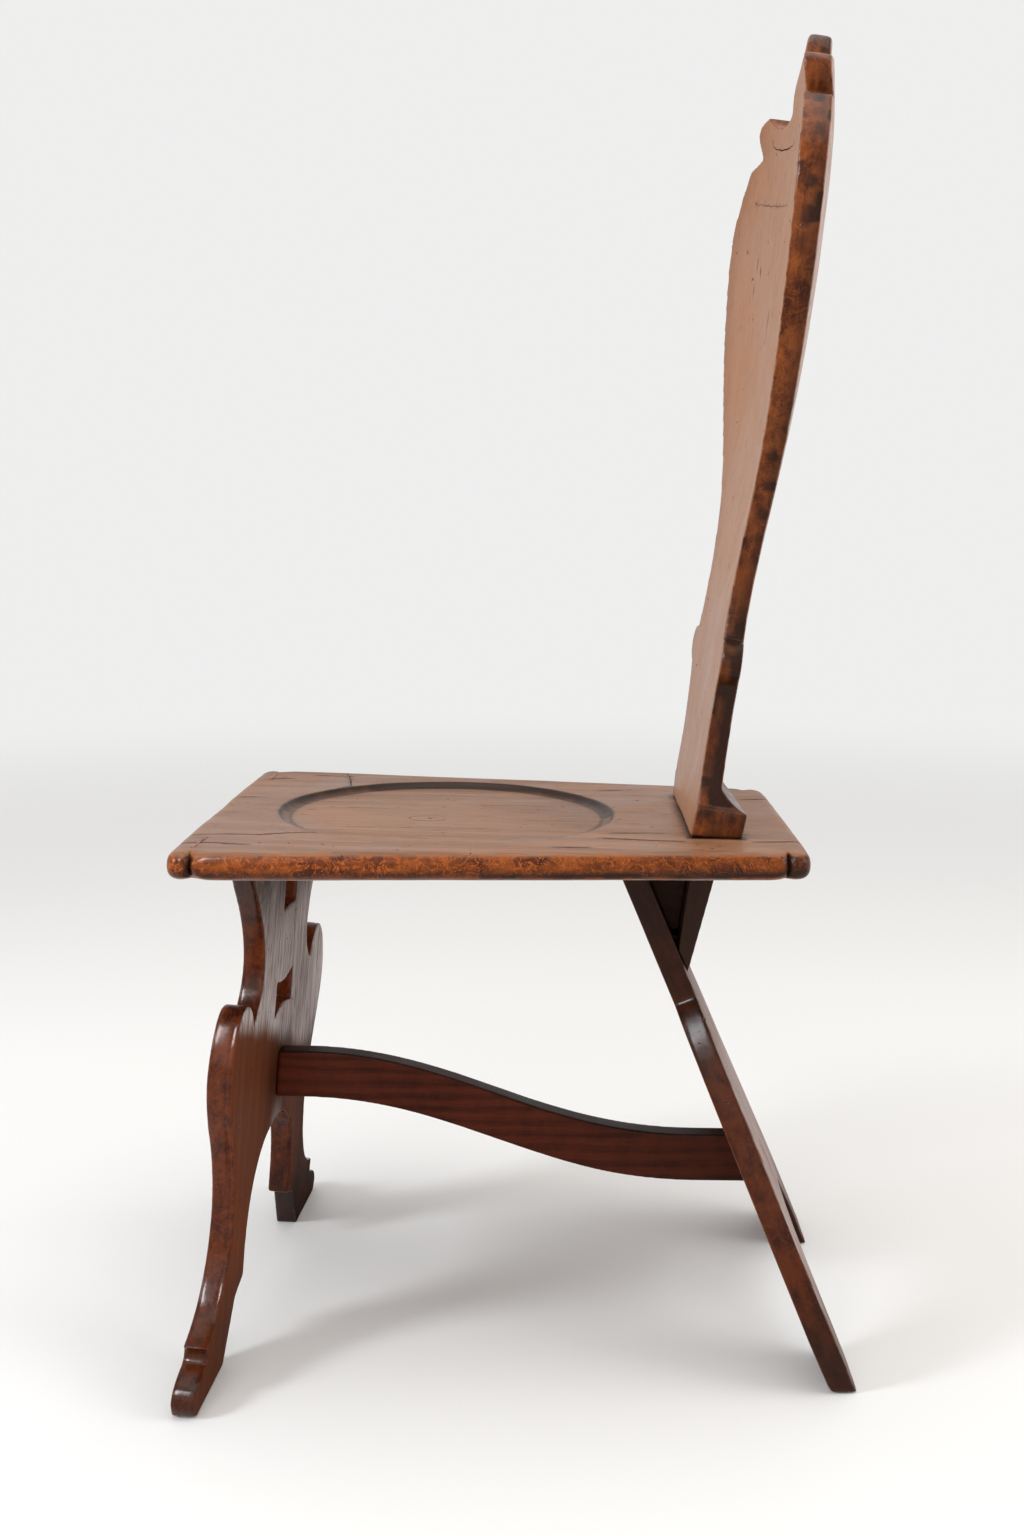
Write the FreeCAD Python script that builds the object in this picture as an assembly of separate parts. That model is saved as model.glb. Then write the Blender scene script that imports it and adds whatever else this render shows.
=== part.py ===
import FreeCAD, Part
import math
import os

# Hall chair: a dished seat board on two pierced plank legs, with a tall shaped back board.
# Millimetres and degrees. +Z is up, the front faces -Y, the sitter's left is +X, the floor is Z = 0.

# Seat board: a trapezoid that falls a little to the rear
seat_front_y = -276.0
seat_front_height = 456.0
seat_length = 508.0
seat_front_half = 206.0
seat_rear_half = 153.0
seat_thickness = 23.0
seat_fall = 0.95
seat_corner_radius = 14.0
seat_edge_radius = 8.0
notch_from_edge = 19.0
notch_width = 9.0
notch_depth = 15.0
notch_skew = 5.0
dish_diameter = 297.0
dish_from_front = 205.0
dish_depth = 5.0
dish_cove = 9.0

# Back board: leaning back from the seat; heights are measured along the board
back_base_y = 142.0
back_lean = 8.1
foot_half = 101.0
foot_height = 25.0
foot_depth = 39.5
foot_flare_height = 84.0
flare_hollow = 0.22
ledge_half = 95.0
ledge_height = 28.0
cavetto_half = 88.0
cavetto_height = 78.0
scroll_low_half = 99.0
scroll_low_height = 131.0
scroll_half = 110.0
scroll_height = 149.0
scroll_top_half = 90.0
scroll_top_height = 166.0
neck_half = 85.0
neck_height = 225.0
flank_half = 104.5
flank_height = 290.0
upper_half = 150.0
upper_height = 380.0
shoulder_half = 177.0
shoulder_turn_half = 166.5
shoulder_turn_height = 555.0
shoulder_turn_rise = 55.0
shoulder_height = shoulder_turn_height - shoulder_turn_rise
shoulder_top_half = 138.0
shoulder_top_rise = 35.0
shoulder_top_height = shoulder_turn_height + shoulder_top_rise
ear_notch_half = 109.0
ear_notch_rise = 8.0
ear_notch_height = shoulder_top_height + ear_notch_rise
ear_half = 118.0
ear_rise = 22.0
ear_height = ear_notch_height + ear_rise
ear_peak_half = 95.0
ear_peak_rise = 12.0
ear_peak_height = ear_height + ear_peak_rise
dip_half = 56.0
dip_fall = 17.0
dip_height = ear_peak_height - dip_fall
finial_foot_half = 31.0
finial_foot_rise = 5.0
finial_foot_height = dip_height + finial_foot_rise
finial_half = 29.0
finial_side_rise = 36.0
finial_shoulder_height = finial_foot_height + finial_side_rise
finial_dome_rise = 21.0
finial_height = finial_shoulder_height + finial_dome_rise

# Hollow of the back board: the set-back of its middle and its radius across, level by level
foot_hollow_setback = -4.0
foot_hollow_radius = 9000.0
scroll_hollow_setback = 0.0
scroll_hollow_radius = 1250.0
flank_hollow_setback = 8.0
flank_hollow_radius = 690.0
upper_hollow_setback = 11.3
upper_hollow_radius = 660.0
shoulder_hollow_setback = 7.9
shoulder_hollow_radius = 680.0
turn_hollow_setback = 6.5
turn_hollow_radius = 600.0
ear_hollow_setback = 2.8
ear_hollow_radius = 400.0
crest_hollow_setback = 3.5
crest_hollow_radius = 400.0
back_low_thickness = 18.0
back_upper_thickness = 20.0
back_top_thickness = 22.5
back_crest_thickness = 18.5

# Tail of the back board: a tapered tongue through the seat, bearing on the rear leg
tail_half = 60.0
tail_setback = 6.0
tail_depth = 32.0
tail_tip_depth = 17.0
tail_length = 130.0

# Front leg board: leans back from the floor to the seat
front_foot_y = -244.5
front_rake = 4.94
leg_thickness = 21.0
front_top_half = 166.0
front_flare_half = 98.0
front_flare_height = 373.0
waist_half = 80.0
waist_height = 330.0
slit_half = 107.0
slit_height = 287.0
lobe_inner_half = 117.0
lobe_inner_height = 305.0
lobe_top_half = 135.0
lobe_top_height = 313.0
lobe_half = 169.0
lobe_height = 275.0
calf_half = 142.0
calf_height = 184.0
shin_half = 130.0
shin_height = 122.0
ankle_half = 149.0
ankle_height = 71.0
lip_half = 192.0
lip_height = 45.0
cove_half = 185.0
cove_height = 38.0
instep_half = 190.0
instep_height = 31.0
toe_half = 216.0
toe_height = 10.0
toe_bottom_half = 211.0
heel_half = 133.0
heel_top_half = 107.0
heel_top_height = 46.0
knee_half = 83.0
knee_height = 54.0
arch_side_half = 80.0
arch_side_height = 100.0
arch_crown_height = 163.0

# Piercings of the front leg board
window_half = 31.0
window_low = 268.0
window_high = 302.0
window_bow = 6.0
slot_half = 24.0
slot_low = 366.0
slot_high = 398.0
slot_rise = 8.0

# Rear leg board: splayed back; heights are measured along the board
rear_foot_y = 276.0
rear_rake = 22.75
rear_top_half = 64.0
rear_neck_half = 61.0
rear_neck_height = 400.0
rear_crease_half = 65.0
rear_crease_height = 329.0
rear_lobe_half = 86.0
rear_lobe_height = 306.0
rear_flank_half = 122.0
rear_flank_height = 216.0
rear_shin_half = 156.0
rear_shin_height = 108.0
rear_toe_half = 168.0
rear_toe_height = 56.0
rear_toe_bottom_half = 158.0
rear_heel_half = 100.0
rear_arch_side_half = 88.0
rear_arch_side_height = 60.0
rear_arch_crown_height = 106.0

# Stretcher: an S-curved bar on the centre plane with wedged through tenons
stretcher_thickness = 20.0
stretcher_depth = 43.0
stretcher_front_top = 230.5
stretcher_rear_top = 156.0
stretcher_middle_y = -18.5
stretcher_middle_top = 190.0
stretcher_front_run_y = -203.5
stretcher_rear_run_y = 151.5
stretcher_tenon_thickness = 12.0
stretcher_tenon_depth = 26.0
wedge_thick_end = 3.0
wedge_thin_end = 1.0
wedge_length = 16.0
wedge_overlength = 6.0
wedge_from_middle = 6.5

# Stub tenons of the legs, set into the underside of the seat
tenon_thickness = 12.0
tenon_depth = 11.0
front_tenon_centre = 98.0
front_tenon_width = 44.0
rear_tenon_centre = 32.0
rear_tenon_width = 34.0

# Glue blocks under the seat and nails through the tail
block_side = 24.0
front_block_inner = 32.0
front_block_length = 50.0
rear_block_inner = 6.0
rear_block_length = 32.0
rear_block_depth = 72.0
nail_from_centre = 30.0
nail_below_seat = 106.0
nail_length = 30.0
nail_diameter = 4.0
nail_head_diameter = 10.0
nail_head_height = 2.5

# Fits
tenon_clearance = 0.3
mortise_end_gap = 0.5
nail_clearance = 0.1

# Room around the object for trimming solids, and a degree that keeps the loft even between its levels
reach = 900.0
loft_degree = 3


def point(x, z):
    return FreeCAD.Vector(x, 0, z)


def line(a, b):
    return Part.LineSegment(a, b).toShape()


def arc(a, middle, b):
    return Part.Arc(a, middle, b).toShape()


def smooth(points, start=None, end=None):
    """One smooth edge through the points, with the directions at its ends where they matter."""
    curve = Part.BSplineCurve()
    if start is None:
        curve.interpolate(points)
    else:
        curve.interpolate(points, InitialTangent=start, FinalTangent=end)
    return curve.toShape()


def box(x, y, z):
    """A box between the low and high values of each axis."""
    size = [high - low for low, high in (x, y, z)]
    return Part.makeBox(*size, FreeCAD.Vector(x[0], y[0], z[0]))


def mirrored(half):
    """The half solid at +X joined to its mirror image."""
    other = half.mirror(FreeCAD.Vector(0, 0, 0), FreeCAD.Vector(1, 0, 0))
    return half.fuse(other).removeSplitter()


def pair(shape):
    """The shape at +X and its mirror image, as two solids."""
    other = shape.mirror(FreeCAD.Vector(0, 0, 0), FreeCAD.Vector(1, 0, 0))
    return Part.makeCompound([shape, other])


def half_board(edges, thickness):
    """A board from its half outline in the XZ plane, its rear face at y = 0."""
    face = Part.Face(Part.Wire(edges))
    return mirrored(face.extrude(FreeCAD.Vector(0, -thickness, 0)))


def prism(points, half_width):
    """A solid with its outline in the YZ plane, centred on X = 0."""
    corners = [FreeCAD.Vector(-half_width, y, z) for y, z in points]
    face = Part.Face(Part.makePolygon(corners + corners[:1]))
    return face.extrude(FreeCAD.Vector(2 * half_width, 0, 0))


def tilted(shape, angle, base):
    """Turns the shape about the X axis and moves its origin to the base point."""
    shape = shape.copy()
    shape.rotate(FreeCAD.Vector(0, 0, 0), FreeCAD.Vector(1, 0, 0), angle)
    shape.translate(base)
    return shape


def in_seat(shape):
    """From the seat's frame: y from the front edge, z = 0 on its top."""
    return tilted(shape, -seat_fall, FreeCAD.Vector(0, seat_front_y, seat_front_height))


def in_back(shape):
    """From the back's frame: z along the board from the seat, y = 0 on the front face at the middle."""
    return tilted(shape, -back_lean, FreeCAD.Vector(0, back_base_y, seat_top_at(back_base_y)))


def in_front_leg(shape):
    """From the front leg's frame: z along the board from the floor, y = 0 on the rear face."""
    return tilted(shape, -front_rake, FreeCAD.Vector(0, front_foot_y, 0))


def in_rear_leg(shape):
    """From the rear leg's frame: z along the board from the floor, y = 0 on the rear face."""
    return tilted(shape, rear_rake, FreeCAD.Vector(0, rear_foot_y, 0))


def seat_top_at(y):
    return seat_front_height - (y - seat_front_y) * math.tan(math.radians(seat_fall))


def slab(low_y, high_y, low_z, high_z):
    return box((-reach, reach), (low_y, high_y), (low_z, high_z))


def above_floor():
    return slab(-reach, reach, 0, 2 * reach)


def below_seat():
    return in_seat(slab(-reach, 2 * reach, -reach, -seat_thickness))


def above_seat():
    return in_seat(slab(-reach, 2 * reach, 0, reach))


def leg_tenons(centre, width, grow=0.0):
    """A leg's two stub tenons, long enough to be trimmed, in the leg's own frame."""
    low = centre - width / 2 - grow
    high = centre + width / 2 + grow
    middle = -leg_thickness / 2
    half = tenon_thickness / 2 + grow
    return pair(box((low, high), (middle - half, middle + half), (waist_height, reach)))


def front_tenons(grow=0.0, extra=0.0):
    tenons = in_front_leg(leg_tenons(front_tenon_centre, front_tenon_width, grow))
    return trimmed_tenons(tenons, extra)


def rear_tenons(grow=0.0, extra=0.0):
    tenons = in_rear_leg(leg_tenons(rear_tenon_centre, rear_tenon_width, grow))
    return trimmed_tenons(tenons, extra)


def trimmed_tenons(tenons, extra):
    inset = tenon_depth + extra
    layer = in_seat(slab(-reach, 2 * reach, -seat_thickness - tenon_depth, -seat_thickness + inset))
    return tenons.common(layer)


def tail(grow=0.0):
    """The back's tongue below the seat, as far as the rear face of the rear leg."""
    top = foot_height / 2
    taper = (tail_depth - tail_tip_depth) / tail_length
    rear_top = tail_depth + taper * top + grow
    rear_low = tail_tip_depth + grow
    front = tail_setback - grow
    outline = [(front, top), (rear_top, top), (rear_low, -tail_length), (front, -tail_length)]
    behind_leg = in_rear_leg(slab(0, reach, -reach, reach))
    return in_back(prism(outline, tail_half + grow)).common(behind_leg)


def in_tail(shape):
    """From a nail's frame, z = 0 on the rear face of the tail, to both nails' places."""
    slope = (tail_depth - tail_tip_depth) / tail_length
    surface = tail_depth - slope * nail_below_seat
    place = FreeCAD.Vector(nail_from_centre, surface, -nail_below_seat)
    return in_back(pair(tilted(shape, -90 - math.degrees(math.atan(slope)), place)))


def nail_shank(grow=0.0):
    length = nail_length + grow
    return Part.makeCylinder(nail_diameter / 2 + grow, length, FreeCAD.Vector(0, 0, -length))


def nails():
    """The two nails, square to the rear face of the tail."""
    head = Part.makeCylinder(nail_head_diameter / 2, nail_head_height)
    return in_tail(nail_shank().fuse(head).removeSplitter())


def nail_holes():
    return in_tail(nail_shank(nail_clearance))


def seat_board():
    length = seat_length
    front, rear = seat_front_half, seat_rear_half
    corners = [(-front, 0), (front, 0), (rear, length), (-rear, length)]
    corners = [FreeCAD.Vector(x, y, -seat_thickness) for x, y in corners]
    board = Part.Face(Part.makePolygon(corners + corners[:1])).extrude(FreeCAD.Vector(0, 0, seat_thickness))
    upright = [e for e in board.Edges if abs(e.Vertexes[0].Z - e.Vertexes[1].Z) > seat_thickness / 2]
    board = board.makeFillet(seat_corner_radius, upright)
    level = [e for e in board.Edges if abs(e.Vertexes[0].Z - e.Vertexes[1].Z) < seat_thickness / 2]
    board = board.makeFillet(seat_edge_radius, level)
    board = board.cut(dish())
    for from_front, towards in ((notch_from_edge, 1), (length - notch_from_edge, -1)):
        board = board.cut(corner_notches(from_front, towards))
    board = in_seat(board)
    board = board.cut(front_tenons(tenon_clearance, mortise_end_gap))
    board = board.cut(rear_tenons(tenon_clearance, mortise_end_gap))
    return board.cut(tail(tenon_clearance))


def dish():
    """The round recess of the seat, with a coved rim, as a solid to cut away."""
    rim = dish_diameter / 2
    floor = rim - dish_cove
    turn = math.radians(45)
    middle = point(floor + dish_cove * math.sin(turn), -dish_depth * math.cos(turn))
    edges = [
        line(point(0, -dish_depth), point(floor, -dish_depth)),
        arc(point(floor, -dish_depth), middle, point(rim, 0)),
        line(point(rim, 0), point(rim, dish_depth)),
        line(point(rim, dish_depth), point(0, dish_depth)),
        line(point(0, dish_depth), point(0, -dish_depth)),
    ]
    solid = Part.Face(Part.Wire(edges)).revolve(FreeCAD.Vector(0, 0, 0), FreeCAD.Vector(0, 0, 1), 360)
    solid.translate(FreeCAD.Vector(0, dish_from_front, 0))
    return solid


def corner_notches(from_front, towards):
    """A pair of V notches in the side edges beside two corners of the seat."""
    taper = (seat_front_half - seat_rear_half) / seat_length
    edge = seat_front_half - taper * from_front
    mouth = edge + notch_depth
    tip = FreeCAD.Vector(edge - notch_depth, from_front + towards * notch_skew, -seat_thickness)
    low = FreeCAD.Vector(mouth, from_front - notch_width, -seat_thickness)
    high = FreeCAD.Vector(mouth, from_front + notch_width, -seat_thickness)
    face = Part.Face(Part.makePolygon([tip, low, high, tip]))
    return pair(face.extrude(FreeCAD.Vector(0, 0, seat_thickness)))


def back_outline():
    below = -foot_height
    up = FreeCAD.Vector(0, 0, 1)
    inward = FreeCAD.Vector(-1, 0, 0)
    off_scroll = FreeCAD.Vector(-0.3, 0, 1)
    into_notch = FreeCAD.Vector(-1, 0, 0.2)
    out_of_notch = FreeCAD.Vector(0.5, 0, 1)
    foot_top = point(foot_half, foot_height)
    ledge = point(ledge_half, ledge_height)
    scroll_low = point(scroll_low_half, scroll_low_height)
    scroll_top = point(scroll_top_half, scroll_top_height)
    ear_notch = point(ear_notch_half, ear_notch_height)
    finial_foot = point(finial_foot_half, finial_foot_height)
    top = point(0, finial_height)
    flank = [
        scroll_top,
        point(neck_half, neck_height),
        point(flank_half, flank_height),
        point(upper_half, upper_height),
        point(shoulder_half, shoulder_height),
        point(shoulder_turn_half, shoulder_turn_height),
        point(shoulder_top_half, shoulder_top_height),
        ear_notch,
    ]
    ear_peak = point(ear_peak_half, ear_peak_height)
    ear = [ear_notch, point(ear_half, ear_height), ear_peak]
    return [
        line(point(0, below), point(foot_half, below)),
        line(point(foot_half, below), foot_top),
        line(foot_top, ledge),
        smooth([ledge, point(cavetto_half, cavetto_height), scroll_low]),
        arc(scroll_low, point(scroll_half, scroll_height), scroll_top),
        smooth(flank, off_scroll, into_notch),
        smooth(ear, out_of_notch, inward),
        arc(ear_peak, point(dip_half, dip_height), finial_foot),
        smooth([finial_foot, point(finial_half, finial_shoulder_height), top], up, inward),
        line(top, point(0, below)),
    ]


def back_board():
    outline = Part.Face(Part.Wire(back_outline()))
    outline.translate(FreeCAD.Vector(0, -shoulder_half, 0))
    blank = mirrored(outline.extrude(FreeCAD.Vector(0, 2 * shoulder_half, 0)))
    sheet = hollow_plank().fuse(foot_flare())
    board = in_back(blank.common(sheet)).common(above_seat())
    board = board.fuse(tail()).removeSplitter()
    return board.cut(nail_holes())


def hollow_plank():
    """The back's plank before it is sawn out: flat at its foot, more and more hollow towards its crest."""
    above = finial_height + foot_height
    levels = [
        (-foot_height, foot_hollow_setback, foot_hollow_radius, back_low_thickness),
        (scroll_height, scroll_hollow_setback, scroll_hollow_radius, back_low_thickness),
        (flank_height, flank_hollow_setback, flank_hollow_radius, back_low_thickness),
        (upper_height, upper_hollow_setback, upper_hollow_radius, back_upper_thickness),
        (shoulder_height, shoulder_hollow_setback, shoulder_hollow_radius, back_top_thickness),
        (shoulder_turn_height, turn_hollow_setback, turn_hollow_radius, back_top_thickness),
        (ear_height, ear_hollow_setback, ear_hollow_radius, back_top_thickness),
        (above, crest_hollow_setback, crest_hollow_radius, back_crest_thickness),
    ]
    sections = [plank_section(*level) for level in levels]
    return Part.makeLoft(sections, True, False, False, loft_degree)


def plank_section(height, setback, radius, thickness):
    """A level cut through the hollow plank: two arcs joined at the plank's sides."""
    half = shoulder_half + foot_height
    side = setback - (radius - math.sqrt(radius ** 2 - half ** 2))
    front = [FreeCAD.Vector(x, y, height) for x, y in ((-half, side), (0, setback), (half, side))]
    rear = [place + FreeCAD.Vector(0, thickness, 0) for place in front]
    return Part.Wire([arc(*front), line(front[2], rear[2]), arc(*rear[::-1]), line(rear[0], front[0])])


def foot_flare():
    """The thickening at the foot of the back, with a hollow curve on its rear side."""
    x = -shoulder_half
    rear = foot_hollow_setback + back_low_thickness
    inside = rear / 2
    low = -foot_height
    sweep_y = rear + (foot_depth - rear) * flare_hollow
    sweep_z = foot_height + (foot_flare_height - foot_height) * flare_hollow
    low_front = FreeCAD.Vector(x, inside, low)
    low_rear = FreeCAD.Vector(x, foot_depth, low)
    ledge = FreeCAD.Vector(x, foot_depth, foot_height)
    top_rear = FreeCAD.Vector(x, rear, foot_flare_height)
    top_front = FreeCAD.Vector(x, inside, foot_flare_height)
    edges = [
        line(low_front, low_rear),
        line(low_rear, ledge),
        arc(ledge, FreeCAD.Vector(x, sweep_y, sweep_z), top_rear),
        line(top_rear, top_front),
        line(top_front, low_front),
    ]
    return Part.Face(Part.Wire(edges)).extrude(FreeCAD.Vector(2 * shoulder_half, 0, 0))


def front_leg_outline():
    low = -leg_thickness
    top = seat_front_height
    slit = point(slit_half, slit_height)
    lip = point(lip_half, lip_height)
    instep = point(instep_half, instep_height)
    toe_bottom = point(toe_bottom_half, 0)
    heel = point(heel_half, 0)
    knee = point(knee_half, knee_height)
    crown = point(0, arch_crown_height)
    neck = [
        point(front_top_half, top),
        point(front_flare_half, front_flare_height),
        point(waist_half, waist_height),
        slit,
    ]
    leg = [
        slit,
        point(lobe_inner_half, lobe_inner_height),
        point(lobe_top_half, lobe_top_height),
        point(lobe_half, lobe_height),
        point(calf_half, calf_height),
        point(shin_half, shin_height),
        point(ankle_half, ankle_height),
        lip,
    ]
    return [
        line(point(0, top), point(front_top_half, top)),
        smooth(neck),
        smooth(leg),
        arc(lip, point(cove_half, cove_height), instep),
        smooth([instep, point(toe_half, toe_height), toe_bottom]),
        line(toe_bottom, point(toe_bottom_half, low)),
        line(point(toe_bottom_half, low), point(heel_half, low)),
        line(point(heel_half, low), heel),
        line(heel, point(heel_top_half, heel_top_height)),
        line(point(heel_top_half, heel_top_height), knee),
        smooth([knee, point(arch_side_half, arch_side_height), crown],
               FreeCAD.Vector(0, 0, 1), FreeCAD.Vector(-1, 0, 0)),
        line(crown, point(0, top)),
    ]


def front_leg_piercings():
    """The window with bowed top and bottom, and the slot with an arched top."""
    middle_low = point(0, window_low + window_bow)
    middle_high = point(0, window_high - window_bow)
    window = [
        arc(point(-window_half, window_low), middle_low, point(window_half, window_low)),
        line(point(window_half, window_low), point(window_half, window_high)),
        arc(point(window_half, window_high), middle_high, point(-window_half, window_high)),
        line(point(-window_half, window_high), point(-window_half, window_low)),
    ]
    slot = [
        line(point(-slot_half, slot_low), point(slot_half, slot_low)),
        line(point(slot_half, slot_low), point(slot_half, slot_high)),
        arc(point(slot_half, slot_high), point(0, slot_high + slot_rise), point(-slot_half, slot_high)),
        line(point(-slot_half, slot_high), point(-slot_half, slot_low)),
    ]
    cutters = [Part.Face(Part.Wire(edges)) for edges in (window, slot)]
    return [face.extrude(FreeCAD.Vector(0, -leg_thickness, 0)) for face in cutters]


def front_leg_board():
    board = half_board(front_leg_outline(), leg_thickness).cut(front_leg_piercings())
    board = in_front_leg(board).common(below_seat()).common(above_floor())
    board = board.fuse(front_tenons()).removeSplitter()
    return board.cut(front_stretcher_tenon(tenon_clearance))


def rear_leg_outline():
    low = -leg_thickness
    top = seat_front_height + seat_thickness
    toe_bottom = point(rear_toe_bottom_half, low)
    toe = point(rear_toe_half, rear_toe_height)
    crease = point(rear_crease_half, rear_crease_height)
    heel = point(rear_heel_half, low)
    crown = point(0, rear_arch_crown_height)
    flank = [
        crease,
        point(rear_lobe_half, rear_lobe_height),
        point(rear_flank_half, rear_flank_height),
        point(rear_shin_half, rear_shin_height),
        toe,
    ]
    return [
        line(point(0, top), point(rear_top_half, top)),
        smooth([point(rear_top_half, top), point(rear_neck_half, rear_neck_height), crease]),
        smooth(flank),
        line(toe, toe_bottom),
        line(toe_bottom, heel),
        smooth([heel, point(rear_arch_side_half, rear_arch_side_height), crown],
               FreeCAD.Vector(0, 0, 1), FreeCAD.Vector(-1, 0, 0)),
        line(crown, point(0, top)),
    ]


def rear_leg_board():
    board = half_board(rear_leg_outline(), leg_thickness)
    board = in_rear_leg(board).common(below_seat()).common(above_floor())
    board = board.fuse(rear_tenons()).removeSplitter()
    board = board.cut(rear_stretcher_tenon(tenon_clearance))
    return board.cut(nail_holes())


def stretcher_edge(drop):
    """The S curve of the stretcher's top edge, lowered by the drop."""
    low = stretcher_rear_top - drop
    high = stretcher_front_top - drop
    level = FreeCAD.Vector(0, 1, 0)
    x = -stretcher_thickness / 2
    start = FreeCAD.Vector(x, stretcher_front_run_y, high)
    middle = FreeCAD.Vector(x, stretcher_middle_y, stretcher_middle_top - drop)
    end = FreeCAD.Vector(x, stretcher_rear_run_y, low)
    front = FreeCAD.Vector(x, seat_front_y, high)
    rear = FreeCAD.Vector(x, rear_foot_y, low)
    return [line(front, start), smooth([start, middle, end], level, level), line(end, rear)]


def stretcher_tenon(top, y, grow):
    middle = top - stretcher_depth / 2
    depth = stretcher_tenon_depth / 2 + grow
    half = stretcher_tenon_thickness / 2 + grow
    return box((-half, half), y, (middle - depth, middle + depth))


def front_stretcher_tenon(grow=0.0):
    return stretcher_tenon(stretcher_front_top, (seat_front_y, stretcher_front_run_y), grow)


def rear_stretcher_tenon(grow=0.0):
    return stretcher_tenon(stretcher_rear_top, (stretcher_rear_run_y, rear_foot_y), grow)


def behind_front_leg(depth=0.0):
    """The space behind the rear face of the front leg, reaching into the board by the depth."""
    return in_front_leg(slab(-depth, reach, -reach, reach))


def ahead_of_rear_leg(depth=0.0):
    """The space ahead of the front face of the rear leg, reaching into the board by the depth."""
    return in_rear_leg(slab(-reach, -leg_thickness + depth, -reach, reach))


def stretcher():
    top = stretcher_edge(0)
    bottom = stretcher_edge(stretcher_depth)
    front = line(bottom[0].Vertexes[0].Point, top[0].Vertexes[0].Point)
    rear = line(top[-1].Vertexes[-1].Point, bottom[-1].Vertexes[-1].Point)
    face = Part.Face(Part.Wire(Part.__sortEdges__(top + bottom + [front, rear])))
    bar = face.extrude(FreeCAD.Vector(stretcher_thickness, 0, 0))
    bar = bar.common(behind_front_leg()).common(ahead_of_rear_leg())
    for tenon in (front_stretcher_tenon(), rear_stretcher_tenon()):
        inside = tenon.common(behind_front_leg(leg_thickness)).common(ahead_of_rear_leg(leg_thickness))
        bar = bar.fuse(inside)
    bar = bar.removeSplitter()
    return bar.cut(front_wedges()).cut(rear_wedges())


def wedges(top, y_outer, towards):
    """Two wedges across a tenon, thick at its outer end."""
    middle = top - stretcher_depth / 2
    y_inner = y_outer + towards * wedge_length
    half = stretcher_tenon_thickness / 2
    made = []
    for z in (middle - wedge_from_middle, middle + wedge_from_middle):
        outline = [
            (y_outer, z - wedge_thick_end / 2),
            (y_outer, z + wedge_thick_end / 2),
            (y_inner, z + wedge_thin_end / 2),
            (y_inner, z - wedge_thin_end / 2),
        ]
        made.append(prism(outline, half))
    return Part.makeCompound(made)


def front_wedges():
    height = stretcher_front_top - stretcher_depth / 2
    rear_face = front_foot_y + height * math.tan(math.radians(front_rake))
    front_face = rear_face - leg_thickness / math.cos(math.radians(front_rake))
    outer = front_face - wedge_overlength
    return wedges(stretcher_front_top, outer, 1).common(behind_front_leg(leg_thickness))


def rear_wedges():
    height = stretcher_rear_top - stretcher_depth / 2
    outer = rear_foot_y - height * math.tan(math.radians(rear_rake)) + wedge_overlength
    return wedges(stretcher_rear_top, outer, -1).common(ahead_of_rear_leg(leg_thickness))


def front_glue_blocks():
    """Three-sided blocks in the corner between the seat and the front leg."""
    down_seat = math.radians(-seat_fall)
    seat_line = FreeCAD.Vector(0, math.cos(down_seat), math.sin(down_seat))
    seat_normal = FreeCAD.Vector(0, -seat_line.z, seat_line.y)
    seat_point = FreeCAD.Vector(0, seat_front_y, seat_front_height) - seat_normal * seat_thickness
    turn = math.radians(front_rake)
    leg_line = FreeCAD.Vector(0, math.sin(turn), math.cos(turn))
    leg_point = FreeCAD.Vector(0, front_foot_y, 0)
    travel = (seat_point - leg_point).dot(seat_normal) / leg_line.dot(seat_normal)
    corner = leg_point + leg_line * travel
    ends = [corner, corner + seat_line * block_side, corner - leg_line * block_side]
    block = prism([(end.y, end.z) for end in ends], front_block_length / 2)
    block.translate(FreeCAD.Vector(front_block_inner + front_block_length / 2, 0, 0))
    return pair(block)


def rear_glue_blocks():
    """Blocks that fill the gap between the rear leg and the tail, under the seat."""
    behind_leg = in_rear_leg(slab(0, reach, -reach, reach))
    ahead_of_tail = in_back(slab(-reach, tail_setback, -reach, reach))
    layer = in_seat(slab(-reach, 2 * reach, -seat_thickness - rear_block_depth, -seat_thickness))
    gap = behind_leg.common(ahead_of_tail).common(layer)
    width = (rear_block_inner, rear_block_inner + rear_block_length)
    return pair(gap.common(box(width, (-reach, reach), (0, reach))))


parts = {
    "seat_board": seat_board,
    "back_board": back_board,
    "front_leg_board": front_leg_board,
    "rear_leg_board": rear_leg_board,
    "stretcher": stretcher,
    "stretcher_front_wedges": front_wedges,
    "stretcher_rear_wedges": rear_wedges,
    "front_glue_blocks": front_glue_blocks,
    "rear_glue_blocks": rear_glue_blocks,
    "tail_nails": nails,
}

os.makedirs("parts", exist_ok=True)
for name, make in parts.items():
    shape = make()
    print(name, "solids", len(shape.Solids), "valid", shape.isValid(), "volume", round(shape.Volume))
    print("  box", [round(v, 1) for v in (shape.BoundBox.XMin, shape.BoundBox.XMax, shape.BoundBox.YMin,
                                           shape.BoundBox.YMax, shape.BoundBox.ZMin, shape.BoundBox.ZMax)])
    shape.exportStep("parts/" + name + ".step")
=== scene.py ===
import itertools
import math

import bmesh
import bpy
import numpy as np
from mathutils import Matrix, Vector


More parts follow.
